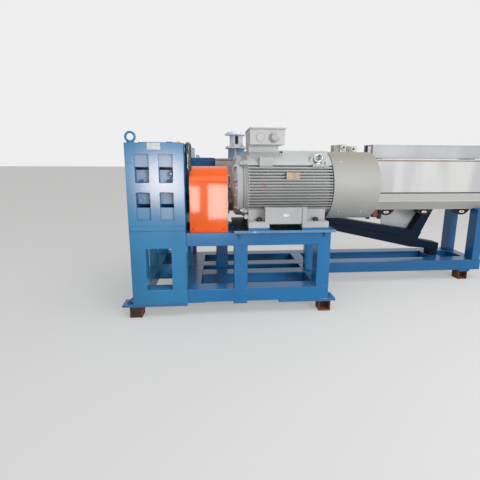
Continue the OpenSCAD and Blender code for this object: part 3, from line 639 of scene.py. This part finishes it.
def weld(bm, start, end, throat=5.0, pitch=7.0):
    """A fillet bead laid in short overlapping runs between two points."""
    a, b = at(*start), at(*end)
    length = (b - a).length
    place = Matrix.Translation((a + b) / 2) @ Z.rotation_difference(b - a).to_matrix().to_4x4()
    radius = throat / 1000
    bead = bmesh.ops.create_cone(
        bm, cap_ends=True, segments=6, radius1=radius, radius2=radius, depth=length, matrix=place,
    )["verts"]
    along = (b - a).normalized()
    sides = [e for e in edges_of(bead) if abs((e.verts[0].co - e.verts[1].co).dot(along)) > length / 2]
    cuts = min(60, max(3, int(length * 1000 / pitch * 2)))
    split = bmesh.ops.subdivide_edges(bm, edges=sides, cuts=cuts, use_grid_fill=False)
    for vert in [g for g in split["geom_inner"] if isinstance(g, bmesh.types.BMVert)]:
        down = (vert.co - a).dot(along)
        middle = a + along * down
        vert.co = middle + (vert.co - middle) * (0.84 + 0.22 * abs(math.sin(down * 1000 / pitch * math.pi)))


def softened(name, width, longest=18.0, angle=40.0):
    """A welded or cast piece with its long sharp edges rounded over by that many millimetres."""
    source = nodes[name]
    slot = next(p["material_slot"] for p in frame["record"]["subparts"] if p["node"] == name)
    bm = bmesh.new()
    bm.from_mesh(source.data)
    bmesh.ops.transform(bm, matrix=source.matrix_world, verts=bm.verts)
    bmesh.ops.remove_doubles(bm, verts=bm.verts, dist=1e-5)
    bmesh.ops.dissolve_limit(bm, angle_limit=math.radians(0.5), verts=bm.verts, edges=bm.edges)
    sharp = [
        e for e in bm.edges
        if len(e.link_faces) == 2 and e.calc_length() > longest / 1000
        and e.calc_face_angle(0.0) > math.radians(angle)
    ]
    ease(bm, sharp, width)
    return made(name + "_eased", bm, slot, replaces=(name,))


# Softened steelwork
for name, width in {
    "square_bearers": 2.5, "pedestal_panels": 3.0, "pedestal_side_rails": 3.0, "pedestal_mid_beam": 3.0,
    "frame_top_rails": 4.0, "frame_bottom_rails": 4.0, "frame_posts": 4.0, "frame_cross_members": 4.0,
    "motor_base_plate": 1.5, "plate_gussets": 1.5, "motor_pads": 2.0, "foot_plates": 1.5,
    "barrel_base_beams": 4.0, "barrel_base_cross_members": 4.0, "barrel_trestles": 3.0,
    "thrust_housing": 3.0, "gearbox_housing": 2.0, "gearbox_top_cover": 2.0, "terminal_box": 4.0,
    "terminal_box_lid": 3.0, "barrel_brace": 3.0, "cable_duct": 3.0, "shroud_cover": 1.0,
    "motor_feet": 3.0, "service_panel": 1.0,
}.items():
    softened(name, width)


def bearer_shadow_blocks():
    """Dark brown plates across the inside of the bearer tubes: painted shade for the dark within them."""
    bm = bmesh.new()
    for x, y in ((-984, -300), (-984, 840), (594, -216), (594, 396), (594, 846), (2350, 396), (2350, 846)):
        block(bm, (x + 5, y, -1051), (x + 95, y + 3, -969), 0)
    made("bearer_shadow_blocks", bm, "rusty_steel", "tube_shadow_brown")


# Gearbox
def gearbox_fittings():
    left, right, rear = -952, -517, 870
    bm = bmesh.new()
    for y in (0, 565):
        for a, across, up in around(8, 108):
            hex_bolt(bm, placed(left - 24, y + across, up, -X, a), 19, 9)
    for a, across, up in around(8, 122):
        hex_bolt(bm, placed(right + 22, across, up, X, a), 16, 7)
    for x in (left + 72, right - 57):
        for i in range(6):
            hex_bolt(bm, placed(x, -95 + i * 162, 357), 16, 8)
    made("gearbox_bolts", bm, "zinc")

    bm = bmesh.new()
    glass = placed(left + 12, 282, -288, -X)
    turned(bm, glass, [(17, 0), (29, 0), (29, 9), (26, 12), (19, 12), (17, 9), (17, 0)], 40)
    made("sight_glass_ring", bm, "zinc")
    bm = bmesh.new()
    disc(bm, glass, 17, 7, 32)
    made("sight_glass", bm, "zinc", "glass")
    bm = bmesh.new()
    hex_bolt(bm, placed(left, 360, -300, -X), 30, 14)
    made("drain_plug", bm, "black_parts", "black_steel")

    # plug, with a painted shadow ring round it, and painted shadows for the two tapered gaps at the foot of
    # the upper panels
    bm = bmesh.new()
    disc(bm, placed(-618, -284.5, 113, -Y), 11, 3.5, 28, 1)
    ring(bm, placed(-618, -285, 113, -Y), 18.5, 1.6, 40, 8)
    made("panel_plug", bm, "gearbox_blue")
    bm = bmesh.new()
    ring(bm, placed(-618, -285, 113, -Y), 14.2, 3.0, 40, 8)
    for x in (-841, -635):
        plate(bm, ((x - 19, 44), (x + 19, 44), (x + 5, 70), (x - 5, 70)), -290.8, -289.5)
    made("panel_shadows", bm, "dark_blue")

    # bolted flange between gearbox and pedestal, on the left and the rear
    bm = bmesh.new()
    for i in range(5):
        hex_bolt(bm, placed(left, -200 + i * 240, -318, -X), 22, 10)
    for x in (left + 60, left + 217, right - 60):
        hex_bolt(bm, placed(x, rear, -318, Y), 22, 10)
    made("pedestal_bolts", bm, "gearbox_blue")


def paper_label():
    """A bare paper label on the top of the front face, its lower edge curling away."""
    bm = bmesh.new()
    low, high = at(-784, -305.6, 291), at(-687, -305.6, 342)
    size = high - low
    matrix = Matrix.Translation((low + high) / 2) @ Matrix.Rotation(math.pi / 2, 4, "X")
    matrix = matrix @ Matrix.Diagonal((size.x, size.z, 1.0, 1.0))
    bmesh.ops.create_grid(bm, x_segments=16, y_segments=10, size=0.5, matrix=matrix)
    for vert in bm.verts:
        down = (high.z - vert.co.z) / size.z
        across = (vert.co.x - low.x) / size.x
        vert.co.y -= 0.005 * max(0.0, down - 0.62) ** 1.5 * (1.0 + 2.2 * across)
        vert.co.z += 0.003 * math.sin(across * 5.0) * max(0.0, down - 0.8)
    bmesh.ops.solidify(bm, geom=bm.faces, thickness=-0.0004)
    made("paper_label", bm, "shroud_white", "paper")


# Oil line, wrapped for transport
def wrapped_pipe():
    """A pipe end in tight wrapping, its folds swelling and narrowing all the way up."""
    bm = bmesh.new()
    outline = [(0, 0), (18, 2), (23, 12), (24, 60), (22, 96), (25, 130), (23, 170), (25, 198)]
    outline += [(21, 212), (13, 221), (5, 226), (0, 227)]
    middle = at(-491, -200, 129)
    turned(bm, placed(-491, -200, 129), outline, 28)
    for vert in bm.verts:
        out = vert.co - middle
        angle = math.atan2(out.y, out.x)
        swell = 1.0 + 0.05 * math.sin(angle * 5 + vert.co.z * 70)
        swell += 0.04 * math.sin(angle * 3 - vert.co.z * 120)
        vert.co.x = middle.x + out.x * swell
        vert.co.y = middle.y + out.y * swell
    block(bm, (-517, -214, 181), (-497, -186, 195), 2)
    made("wrapped_pipe", bm, "filter_grey", replaces=("oil_filter",))


# Coupling guard
def guard_trim():
    left, right, front = -487, -180, -238
    bm = bmesh.new()
    for x in (left, right - 9):
        block(bm, (x, front - 1.6, -352), (x + 9, front + 1, 50), 0.8, 1)
    block(bm, (left, front - 21, -354), (right, front - 1, -350.5), 1.0, 1)
    block(bm, (left + 4, front - 1.8, -349), (right - 4, front + 0.5, -341), 1.0, 1)
    rod(bm, (left + 1, front + 0.6, 51), (right - 1, front + 0.6, 51), 2.2, 10)
    made("guard_hems", bm, "guard_orange")
    bm = bmesh.new()
    for x in (-461, -216):
        disc(bm, placed(x, front - 1.4, -336, -Y), 5.5, 1.2, 20)
    made("guard_bolts", bm, "black_parts", "black_steel")


# Motor
def end_shield():
    """Cast end shield at the coupling side: rim, dished face, ribs and bearing cap."""
    bm = bmesh.new()
    face = placed(-52, 0, 0, -X)
    rim = [
        (41, 0), (255, 0), (257, 2), (257, 49), (255.5, 52.5), (252, 54), (232, 54), (226, 56), (186, 72),
        (178, 76), (172, 76), (160, 78), (158, 88), (154, 90), (124, 90), (117, 92), (115, 96),
        (115, 104), (111, 108), (52, 108), (48, 104), (41, 104), (41, 0),
    ]
    turned(bm, face, rim, 96)
    for a, _, _ in around(12, 0):
        slab(bm, shifted(face @ Matrix.Rotation(a, 4, "Z"), 197, 0, 66), (0.090, 0.012, 0.022), 3)
    for _, across, up in around(8, 240, 0):
        disc(bm, shifted(face, across, up, 50), 14, 8, 24, 2)
    for _, across, up in around(4, 270):
        disc(bm, shifted(face, across, up, 0), 24, 14, 28, 2)
    made("drive_end_shield", bm, "motor_cast", replaces=("motor_end_shields",))

    bm = bmesh.new()
    ring_place = placed(670, 0, 0, X)
    turned(bm, ring_place, [(230, 12), (287, 12), (287, 34), (230, 34), (230, 12)], 96)
    turned(bm, ring_place, [(0, 0), (287.5, 0), (287.5, 12), (0, 12)], 96)
    made("rear_end_shield", bm, "motor_cast")

    bm = bmesh.new()
    for a, across, up in around(4, 270):
        hex_bolt(bm, shifted(face, across, up, 14) @ Matrix.Rotation(a, 4, "Z"), 24, 13)
    for _, across, up in around(8, 240, 0):
        hex_bolt(bm, shifted(face, across, up, 58), 15, 8)
    for _, across, up in around(6, 96):
        hex_bolt(bm, shifted(face, across, up, 108), 15, 7)
    made("end_shield_bolts", bm, "zinc")


def motor_lugs():
    """Round ended bolt lugs cast on the body behind the end shield, and the small fittings round them."""
    bm = bmesh.new()
    dome = [t * math.pi / 12 for t in range(1, 7)]
    outline = [(0, 0), (25, 0), (25, 44)] + [(25 * math.cos(t), 44 + 20 * math.sin(t)) for t in dome]
    for _, across, up in around(4, 273):
        turned(bm, placed(-52, across, up, X), outline, 28)
    turned(bm, placed(-33, -226, -236, -Y), [(0, 26), (15, 26), (19, 22), (20, 12), (20, 0), (0, 0)], 32)
    block(bm, (252, -126, 264), (284, -96, 298), 3)
    made("motor_lugs", bm, "motor_cast")
    bm = bmesh.new()
    disc(bm, placed(550, -222, 190), 24, 9, 32, 1.5)
    ring(bm, placed(550, -222, 238, Vector((-0.46, -0.86, 0.22)).normalized()), 30, 10, 72, 18)
    made("lifting_ring", bm, "zinc", replaces=("motor_eyebolt",))
    bm = bmesh.new()
    outline = [(486, 168), (618, 168), (618, 226), (604, 250)]
    outline += [(572, 262), (524, 262), (498, 248), (486, 222)]
    plate(bm, outline, -206, -140)
    made("lifting_boss", bm, "motor_grey")
    # painted shadow: black blocks between the fins where they run into the cowl
    bm = bmesh.new()
    for i in range(FINS - 1):
        z = -168 + (i + 0.5) * 327 / (FINS - 1)
        for way in (-1, 1):
            y0, y1 = sorted((way * math.sqrt(283 ** 2 - z ** 2), way * math.sqrt(262 ** 2 - z ** 2)))
            block(bm, (652, y0, z - 5.5), (669.5, y1, z + 5.5), 0)
    made("cowl_mouth_shadows", bm, "black_parts", "rubber")
    # painted shade: a black disc for the dark of the hole in the lug block
    bm = bmesh.new()
    disc(bm, placed(266, -126, 283, -Y), 9, 1.5, 20)
    made("lug_hole", bm, "black_parts", "rubber")


def foot_bolts():
    bm = bmesh.new()
    for x in (72, 540):
        for y in (-254, 254):
            hex_bolt(bm, placed(x, y, -268, Z, 0.4), 36, 19)
            rod(bm, (x, y, -250), (x, y, -240), 9)
    made("foot_bolts", bm, "black_parts", "black_steel")


def cowl():
    """Rolled sheet cowl: a turned bead round its mouth, a wired edge at the air inlet, and its screws."""
    start, end, outer, sheet = 671, 1060, 292, 4
    length = end - start
    wire = 3
    curve = [t * math.pi / 10 for t in range(5, -1, -1)]
    outline = [(outer - sheet, 1), (outer - 2, 0), (outer - 0.4, 0.6), (outer, 2.5), (outer, 6)]
    outline += [(outer - 0.7, 8), (outer - 0.7, length - 14), (outer, length - 12)]
    outline += [(outer - wire + wire * math.sin(t), length - wire + wire * math.cos(t)) for t in curve]
    outline += [(outer - sheet, length), (outer - sheet, 1)]
    bm = bmesh.new()
    turned(bm, placed(start, 0, 0, X), outline, 160)
    made("fan_cowl_sheet", bm, "cowl_grey", replaces=("fan_cowl",))
    bm = bmesh.new()
    for x, angles in ((743, (45, 135, 225, 315)), (939, (45, 225, 315))):
        for degrees in angles:
            a = math.radians(degrees)
            out = Vector((0, math.cos(a), math.sin(a)))
            dome_screw(bm, placed(x, 291.6 * out.y, 291.6 * out.z, out), 9, 5)
    made("cowl_screws", bm, "zinc")


def fan_and_hub():
    """The plastic fan seen through the grille."""
    bm = bmesh.new()
    turned(bm, placed(704, 0, 0, X), [(0, 0), (90, 0), (90, 60), (70, 84), (0, 90)], 48)
    for a, _, _ in around(9, 0, 0):
        blade = shifted(placed(780, 0, 0, X) @ Matrix.Rotation(a, 4, "Z"), 155, 0, 0)
        slab(bm, blade @ Matrix.Rotation(0.5, 4, "X"), (0.150, 0.006, 0.110), 2)
    made("cooling_fan", bm, "black_parts")


def terminal_box_details():
    bm = bmesh.new()
    ring(bm, placed(84, -194, 401, -Y), 33, 1.8, 64, 8)
    block(bm, (-4.5, -191.5, 456), (282.5, 191.5, 461), 1)
    made("terminal_box_trim", bm, "motor_grey")
    bm = bmesh.new()
    block(bm, (-5, -192.4, 460.4), (283, 192.4, 462.6), 0.5, 1)
    made("lid_gasket", bm, "motor_grey", "brown_seal")
    bm = bmesh.new()
    for x in (8, 272):
        for y in (-180, 180):
            socket_screw(bm, placed(x, y, 474), 8, 6)
    made("lid_screws", bm, "zinc")
    bm = bmesh.new()
    place = placed(195, -190, 398, -Y)
    outline = [(0, 0), (41, 0), (42, 3), (42, 10), (38, 14), (33, 15), (31, 19), (30, 30), (27, 33), (0, 34)]
    turned(bm, place, outline, 64)
    for height in (19, 23, 27):
        ring(bm, shifted(place, 0, 0, height), 30.5, 0.9, 48, 6)
    made("gland_plug", bm, "gland_grey", replaces=("cable_gland",))


def plates_on_motor():
    bm = bmesh.new()
    block(bm, (281, -284.6, 72), (389, -281.4, 124), 0.8, 1)
    made("bare_nameplate", bm, "buff_plate", replaces=("blank_nameplate",))
    # painted shade: black discs for the dark of two holes beside the nameplate
    bm = bmesh.new()
    for z in (83, 110):
        disc(bm, placed(275, -283, z, -Y), 7, 3, 20)
    made("plate_holes", bm, "black_parts", "rubber")
    bm = bmesh.new()
    for x in (289, 381):
        for z in (79, 117):
            dome_screw(bm, placed(x, -284.4, z, -Y), 3.4, 2)
    made("nameplate_rivets", bm, "zinc")
    bm = bmesh.new()
    block(bm, (257, -306.0, -231), (312, -304.6, -203), 0.5, 1)
    made("sticker_backing", bm, "cowl_grey")
    bm = bmesh.new()
    block(bm, (261, -306.6, -228), (308, -305.8, -206), 0.4, 1)
    made("bare_sticker", bm, "shroud_white", "paper")


# Hopper spool and feed throat
def spool_details():
    centre_x, centre_y, low, high = -70, 565, 334, 482
    bm = bmesh.new()
    for _, across, back in around(8, 101):
        hex_bolt(bm, placed(centre_x + across, centre_y + back, low + 16), 16, 8)
    for _, across, back in around(8, 98):
        hex_bolt(bm, placed(centre_x + across, centre_y + back, high), 14, 7)
    made("spool_bolts", bm, "zinc")
    bm = bmesh.new()
    ring(bm, placed(centre_x, centre_y, low + 18), 70, 5)
    ring(bm, placed(centre_x, centre_y, high - 2), 70, 4)
    made("spool_welds", bm, "spool_paint")
    bm = bmesh.new()
    rim = [(64, -16), (116, -16), (118, -14), (118, -2), (116, 0), (64, 0), (64, -16)]
    turned(bm, placed(centre_x, centre_y, high), rim, 64)
    made("spool_top_ring", bm, "spool_paint")
    # painted shade: a black core fills the spool's bore, for the dark inside it
    bm = bmesh.new()
    disc(bm, placed(centre_x, centre_y, low + 17), 48, high - low - 24, 40)
    made("spool_bore_shade", bm, "black_parts", "rubber")
    bm = bmesh.new()
    turned(bm, placed(centre_x, centre_y, low - 3), [(88, 0), (104, 0), (104, 3), (88, 3), (88, 0)], 64)
    made("spool_gasket", bm, "black_parts", "rubber")
    bm = bmesh.new()
    ring(bm, placed(centre_x, centre_y, 233), 90, 4)
    ring(bm, placed(centre_x, centre_y, 262), 87, 2.5)
    made("throat_rings", bm, "frame_blue")


# Barrel shroud
def shroud_details():
    front, rear, left, right, top = 357, 773, -285, 2570, 232
    bm = bmesh.new()
    for y0, y1 in ((front - 2, front + 22), (rear - 22, rear + 2)):
        block(bm, (left - 2, y0, top - 1), (right + 2, y1, top + 2), 0.8, 1)
    block(bm, (left - 2, front - 2.4, top - 9), (right + 2, front - 0.2, top + 1.5), 0.8, 1)
    block(bm, (left - 2, rear + 0.2, top - 9), (right + 2, rear + 2.4, top + 1.5), 0.8, 1)
    made("roof_edge_angles", bm, "shroud_white")
    # painted shadow: brown strips under the roof's edge angles
    bm = bmesh.new()
    for y0, y1 in ((front - 1.8, front - 0.1), (rear + 0.1, rear + 1.8)):
        block(bm, (left, y0, top - 19), (right, y1, top - 9.5), 0.4, 1)
    made("roof_edge_shadows", bm, "shroud_white", "brown_seal")
    # painted highlight: cream beads along the tray's bend
    bm = bmesh.new()
    for y in (front - 0.6, rear + 0.6):
        rod(bm, (left + 140, y, -196), (right - 2, y, -196), 2.4, 10)
    made("tray_bend_beads", bm, "shroud_white", "bend_highlight_cream")
    bm = bmesh.new()
    for y0, y1 in ((front + 49, front + 52), (rear - 52, rear - 49)):
        block(bm, (left + 138, y0, -289), (right, y1, -278), 1, 1)
    made("tray_lips", bm, "shroud_white")
    bm = bmesh.new()
    outline = [(0, 0), (30, 3), (38, 14), (38, 40), (41, 44), (38, 48), (38, 96)]
    turned(bm, placed(1398, 452, -377), outline, 32)
    made("heater_hose", bm, "black_parts", "hose_brown")
    bm = bmesh.new()
    for x in (1334, 1460):
        turned(bm, placed(x, 462, -400), [(0, 0), (19, 4), (22, 12), (22, 119)], 24)
    made("heater_sleeves", bm, "black_parts", "rubber")
    bm = bmesh.new()
    for i in range(14):
        x = left + 60 + i * 210
        for y, way in ((front - 2.4, -Y), (rear + 2.4, Y)):
            dome_screw(bm, placed(x, y, top - 4, way), 3.6, 2)
        for y, way in ((front, -Y), (rear, Y)):
            if x > left + 150:
                dome_screw(bm, placed(x, y, -128, way), 4.5, 2.4)
            dome_screw(bm, placed(x, y, -92, way), 4.5, 2.4)
    made("shroud_screws", bm, "zinc")
    bm = bmesh.new()
    for y0, y1 in ((front + 1.7, front + 2.4), (rear - 2.4, rear - 1.7)):
        block(bm, (left + 138, y0, -115.5), (right, y1, -104.5), 0, 1)
    made("seam_rubber", bm, "black_parts", "rubber")


def blower_details():
    """Fan housings under the tray: rolled rims, hub caps, a guard of rings and a bare plate on each."""
    rims, caps, plates, prints = bmesh.new(), bmesh.new(), bmesh.new(), bmesh.new()
    for i in range(6):
        x = 31 + (i + 0.5) * 423
        face = placed(x, 418, -257, -Y)
        turned(rims, face, [(80, 0), (95, 0), (95, 3), (92, 4), (85, 3), (80, 2), (80, 0)], 48)
        for radius in (30, 46, 62):
            ring(rims, shifted(face, 0, 0, 3), radius, 1.6, 36, 6)
        for _, across, up in around(6, 1, 0):
            inner = (x + 14 * across, 415, -257 + 14 * up)
            rod(rims, inner, (x + 82 * across, 415, -257 + 82 * up), 1.8, 6)
        turned(caps, face, [(0, 12), (10, 12), (15, 9), (16, 0)], 24)
        oval = list(around(20, 1, 0))
        plate(plates, [(x + 29 * across, -318 + 12 * up) for _, across, up in oval], 411.5, 415.5)
        plate(prints, [(x + 15 * across, -318 + 6 * up) for _, across, up in oval], 410.8, 411.8)
    made("blower_rims", rims, "black_parts")
    made("blower_caps", caps, "black_parts")
    made("blower_plates", plates, "black_parts", "paper")
    made("blower_marks", prints, "black_parts", "red_print")


def duct_details():
    left, right, front, rear, top = 1335, 2530, 455, 660, 380
    bm = bmesh.new()
    block(bm, (left - 2, front - 2, top - 14), (right + 2, rear + 2, top + 1), 1.5)
    made("duct_lid", bm, "duct_grey")
    bm = bmesh.new()
    block(bm, (1291, 476, 232), (left, 556, 366), 3)
    made("duct_socket", bm, "duct_grey")
    bm = bmesh.new()
    block(bm, (1270, 474, 232), (1291, 492, 374), 3)
    made("duct_coupler", bm, "dark_blue")


def power_plugs():
    """Two plug hoods with a round entry in front, each with a lower cable end at its left."""
    hoods, ends, clips, mouths = bmesh.new(), bmesh.new(), bmesh.new(), bmesh.new()
    for x, wide, tail, top in ((1004, 72, 62, 383), (1108, 82, 22, 367)):
        front, rear = 505, 615
        block(hoods, (x, front, 232), (x + wide, rear, top), 5)
        block(ends, (x - tail, front + 15, 232), (x + 1, rear - 15, top - 6), 4)
        for i in range(3):
            z = top - 34 - i * 24
            block(ends, (x - tail - 2, front + 12, z), (x - 2, rear - 12, z + 9), 2)
        place = placed(x + 36, front, top - 32, -Y)
        entry = [(0, 0), (24, 0), (26, 3), (26, 12), (22, 16), (13, 16), (11, 12), (0, 11)]
        turned(hoods, place, entry, 36)
        # painted shade: a black disc for the dark inside each round entry
        disc(mouths, shifted(place, 0, 0, 11), 11, 1.5, 24)
        block(hoods, (x + wide - 16, front - 6, 240), (x + wide - 4, front + 1, top - 70), 2)
        rod(clips, (x + 6, front - 5, 262), (x + wide - 20, front - 5, 262), 3)
    made("plug_hoods", hoods, "connector_grey", replaces=("power_connectors",))
    made("plug_cable_ends", ends, "connector_grey", "cable_end")
    made("plug_clips", clips, "zinc")
    made("plug_mouths", mouths, "connector_grey", "rubber")


def thrust_details():
    bm = bmesh.new()
    outline = [(0, 0), (14, 0), (14, 5), (10, 8), (10, 16), (13, 19), (13, 26), (0, 29)]
    turned(bm, placed(-462, 420, 240), outline, 32)
    disc(bm, placed(-440, 426, 240), 7, 14, 20, 2)
    made("thrust_fitting", bm, "spool_paint", "paper")
    bm = bmesh.new()
    for x in (-490, -312):
        for z in (-210, -60, 90, 200):
            hex_bolt(bm, placed(x, 395, z, -Y), 22, 10)
            hex_bolt(bm, placed(x, 735, z, Y), 22, 10)
    made("thrust_bolts", bm, "dark_blue")


def outlet_details():
    bm = bmesh.new()
    ring(bm, placed(2701, 565, 0, X), 48, 1.4, 48, 6)
    ring(bm, placed(2701, 565, 0, X), 118, 1.0, 64, 6)
    made("flange_faces", bm, "bare_steel")
    bm = bmesh.new()
    turned(bm, placed(2582, 565, 0, X), [(76, 0), (118, 0), (121, 3), (121, 5), (76, 5), (76, 0)], 64)
    made("flange_seal", bm, "black_parts")


# Welds
def welds():
    """Beads where posts meet rails, where the plate lies on the rails and round the foot plates."""
    bm = bmesh.new()
    for x0, x1 in ((-132, -23), (557, 667)):
        for z in (-465, -832):
            weld(bm, (x0 + 2, -287, z), (x1 - 2, -287, z), 4)
            for x in (x0, x1) if x1 < 600 else (x0,):
                weld(bm, (x, -284, z), (x, -160, z), 5)
    weld(bm, (-517, -286, -942), (-517, -286, -834), 4)
    weld(bm, (-517, -286, -463), (-517, -286, -360), 4)
    for i in range(6):
        x = -100 + i * 130
        weld(bm, (x, -289, -358), (x + 60, -289, -358), 4.5)
    for x0, x1 in ((-517, -372), (-139, -24), (245, 300), (420, 480), (600, 667)):
        weld(bm, (x0, -287, -944), (x1, -287, -944), 4)
    for x in (-98, 606):
        for side in (0, 14):
            weld(bm, (x + side, -289, -410), (x + side, -289, -360), 3.5)
            weld(bm, (x + side, -314, -359), (x + side, -290, -359), 3.5)
    made("frame_welds", bm, "frame_blue")
    bm = bmesh.new()
    for y in (451, 679):
        for x in (770, 880, 2106, 2216):
            weld(bm, (x, y, -942), (x, y, -834), 5)
    for x in (-284, -170, 2468, 2558):
        for y, inward in ((320, 1), (810, -1)):
            weld(bm, (x, y + 2 * inward, -832), (x, y + 100 * inward, -832), 5)
    for x in (780, 870, 2116, 2206):
        weld(bm, (x, 517, -832), (x, 613, -832), 5)
    made("base_welds", bm, "dark_blue")


bearer_shadow_blocks()
gearbox_fittings()
paper_label()
wrapped_pipe()
guard_trim()
end_shield()
motor_lugs()
foot_bolts()
cowl()
fan_and_hub()
terminal_box_details()
plates_on_motor()
spool_details()
shroud_details()
blower_details()
duct_details()
power_plugs()
thrust_details()
outlet_details()
welds()


# Floor, backdrop and lights
def make_floor():
    bm = bmesh.new()
    bmesh.ops.create_grid(bm, x_segments=1, y_segments=1, size=60.0)
    mesh = bpy.data.meshes.new("floor")
    bm.to_mesh(mesh)
    bm.free()
    floor = bpy.data.objects.new("floor", mesh)
    bpy.context.collection.objects.link(floor)
    finish = Finish("floor", Roughness=0.9, Specular_IOR_Level=0.0)
    finish.feed("Base Color", srgb(208, 208, 206))
    rays = ("Is Camera Ray", "Is Glossy Ray", "Is Transmission Ray")
    path = [finish.node("ShaderNodeLightPath", {}, {}, name) for name in rays]
    seen = path[0].largest(path[1]).largest(path[2])
    glow = finish.node("ShaderNodeEmission", {}, {"Strength": 1.0}, "Emission")
    shader = Wire(finish, finish.shader.outputs[0])
    mixed = finish.node("ShaderNodeMixShader", {}, {0: seen * 0.32, 1: shader, 2: glow}, "Shader")
    finish.tree.links.new(mixed.socket, finish.tree.nodes["Material Output"].inputs["Surface"])
    floor.data.materials.append(finish.material)


def make_sky():
    world = bpy.data.worlds.new("sky")
    bpy.context.scene.world = world
    world.use_nodes = True
    tree = world.node_tree
    back = tree.nodes["Background"]
    back.inputs["Color"].default_value = (1.0, 1.0, 1.0, 1.0)
    path = tree.nodes.new("ShaderNodeLightPath")
    seen = path.outputs["Is Camera Ray"]
    for ray in ("Is Transmission Ray", "Is Glossy Ray"):
        larger = tree.nodes.new("ShaderNodeMath")
        larger.operation = "MAXIMUM"
        tree.links.new(seen, larger.inputs[0])
        tree.links.new(path.outputs[ray], larger.inputs[1])
        seen = larger.outputs[0]
    level = tree.nodes.new("ShaderNodeMapRange")
    level.inputs["To Min"].default_value = 0.50
    level.inputs["To Max"].default_value = 0.86
    tree.links.new(seen, level.inputs["Value"])
    tree.links.new(level.outputs[0], back.inputs["Strength"])


WHITE = (1.0, 1.0, 1.0)
COOL = (0.97, 0.99, 1.0)
WARM = (1.0, 0.80, 0.66)


def lamp(name, where, aim, width, height, power, colour=WHITE, mirrored_only=False):
    """A soft rectangle of light. A mirrored one only shows as a window in glossy paint."""
    light = bpy.data.lights.new(name, "AREA")
    light.shape = "RECTANGLE"
    light.size = width
    light.size_y = height
    light.energy = power
    light.color = colour
    thing = bpy.data.objects.new(name, light)
    thing.visible_camera = False
    thing.visible_diffuse = not mirrored_only
    direction = Vector(aim) - Vector(where)
    turn = direction.to_track_quat("-Z", "Y").to_matrix().to_4x4()
    thing.matrix_world = Matrix.Translation(Vector(where)) @ turn
    bpy.context.collection.objects.link(thing)


make_floor()
make_sky()
lamp("roof_light", (0.6, -1.6, 5.0), (0.0, 0.0, 0.6), 5.0, 3.0, 85.0, COOL)
lamp("window_right", (2.6, -5.4, 2.4), (0.0, 0.0, 0.8), 2.5, 2.0, 175.0)
lamp("window_left", (-2.42, -6.0, 0.79), (-1.55, -0.5, 0.9), 1.06, 1.04, 157.0, WARM, True)
lamp("low_window_left", (-1.563, -4.2, 0.52), (-1.563, -0.5, 0.52), 0.19, 0.50, 5.0, mirrored_only=True)
lamp("low_window_right", (-1.100, -4.2, 0.46), (-1.100, -0.5, 0.46), 0.39, 0.68, 14.5, mirrored_only=True)

bpy.context.scene.view_settings.view_transform = "Standard"
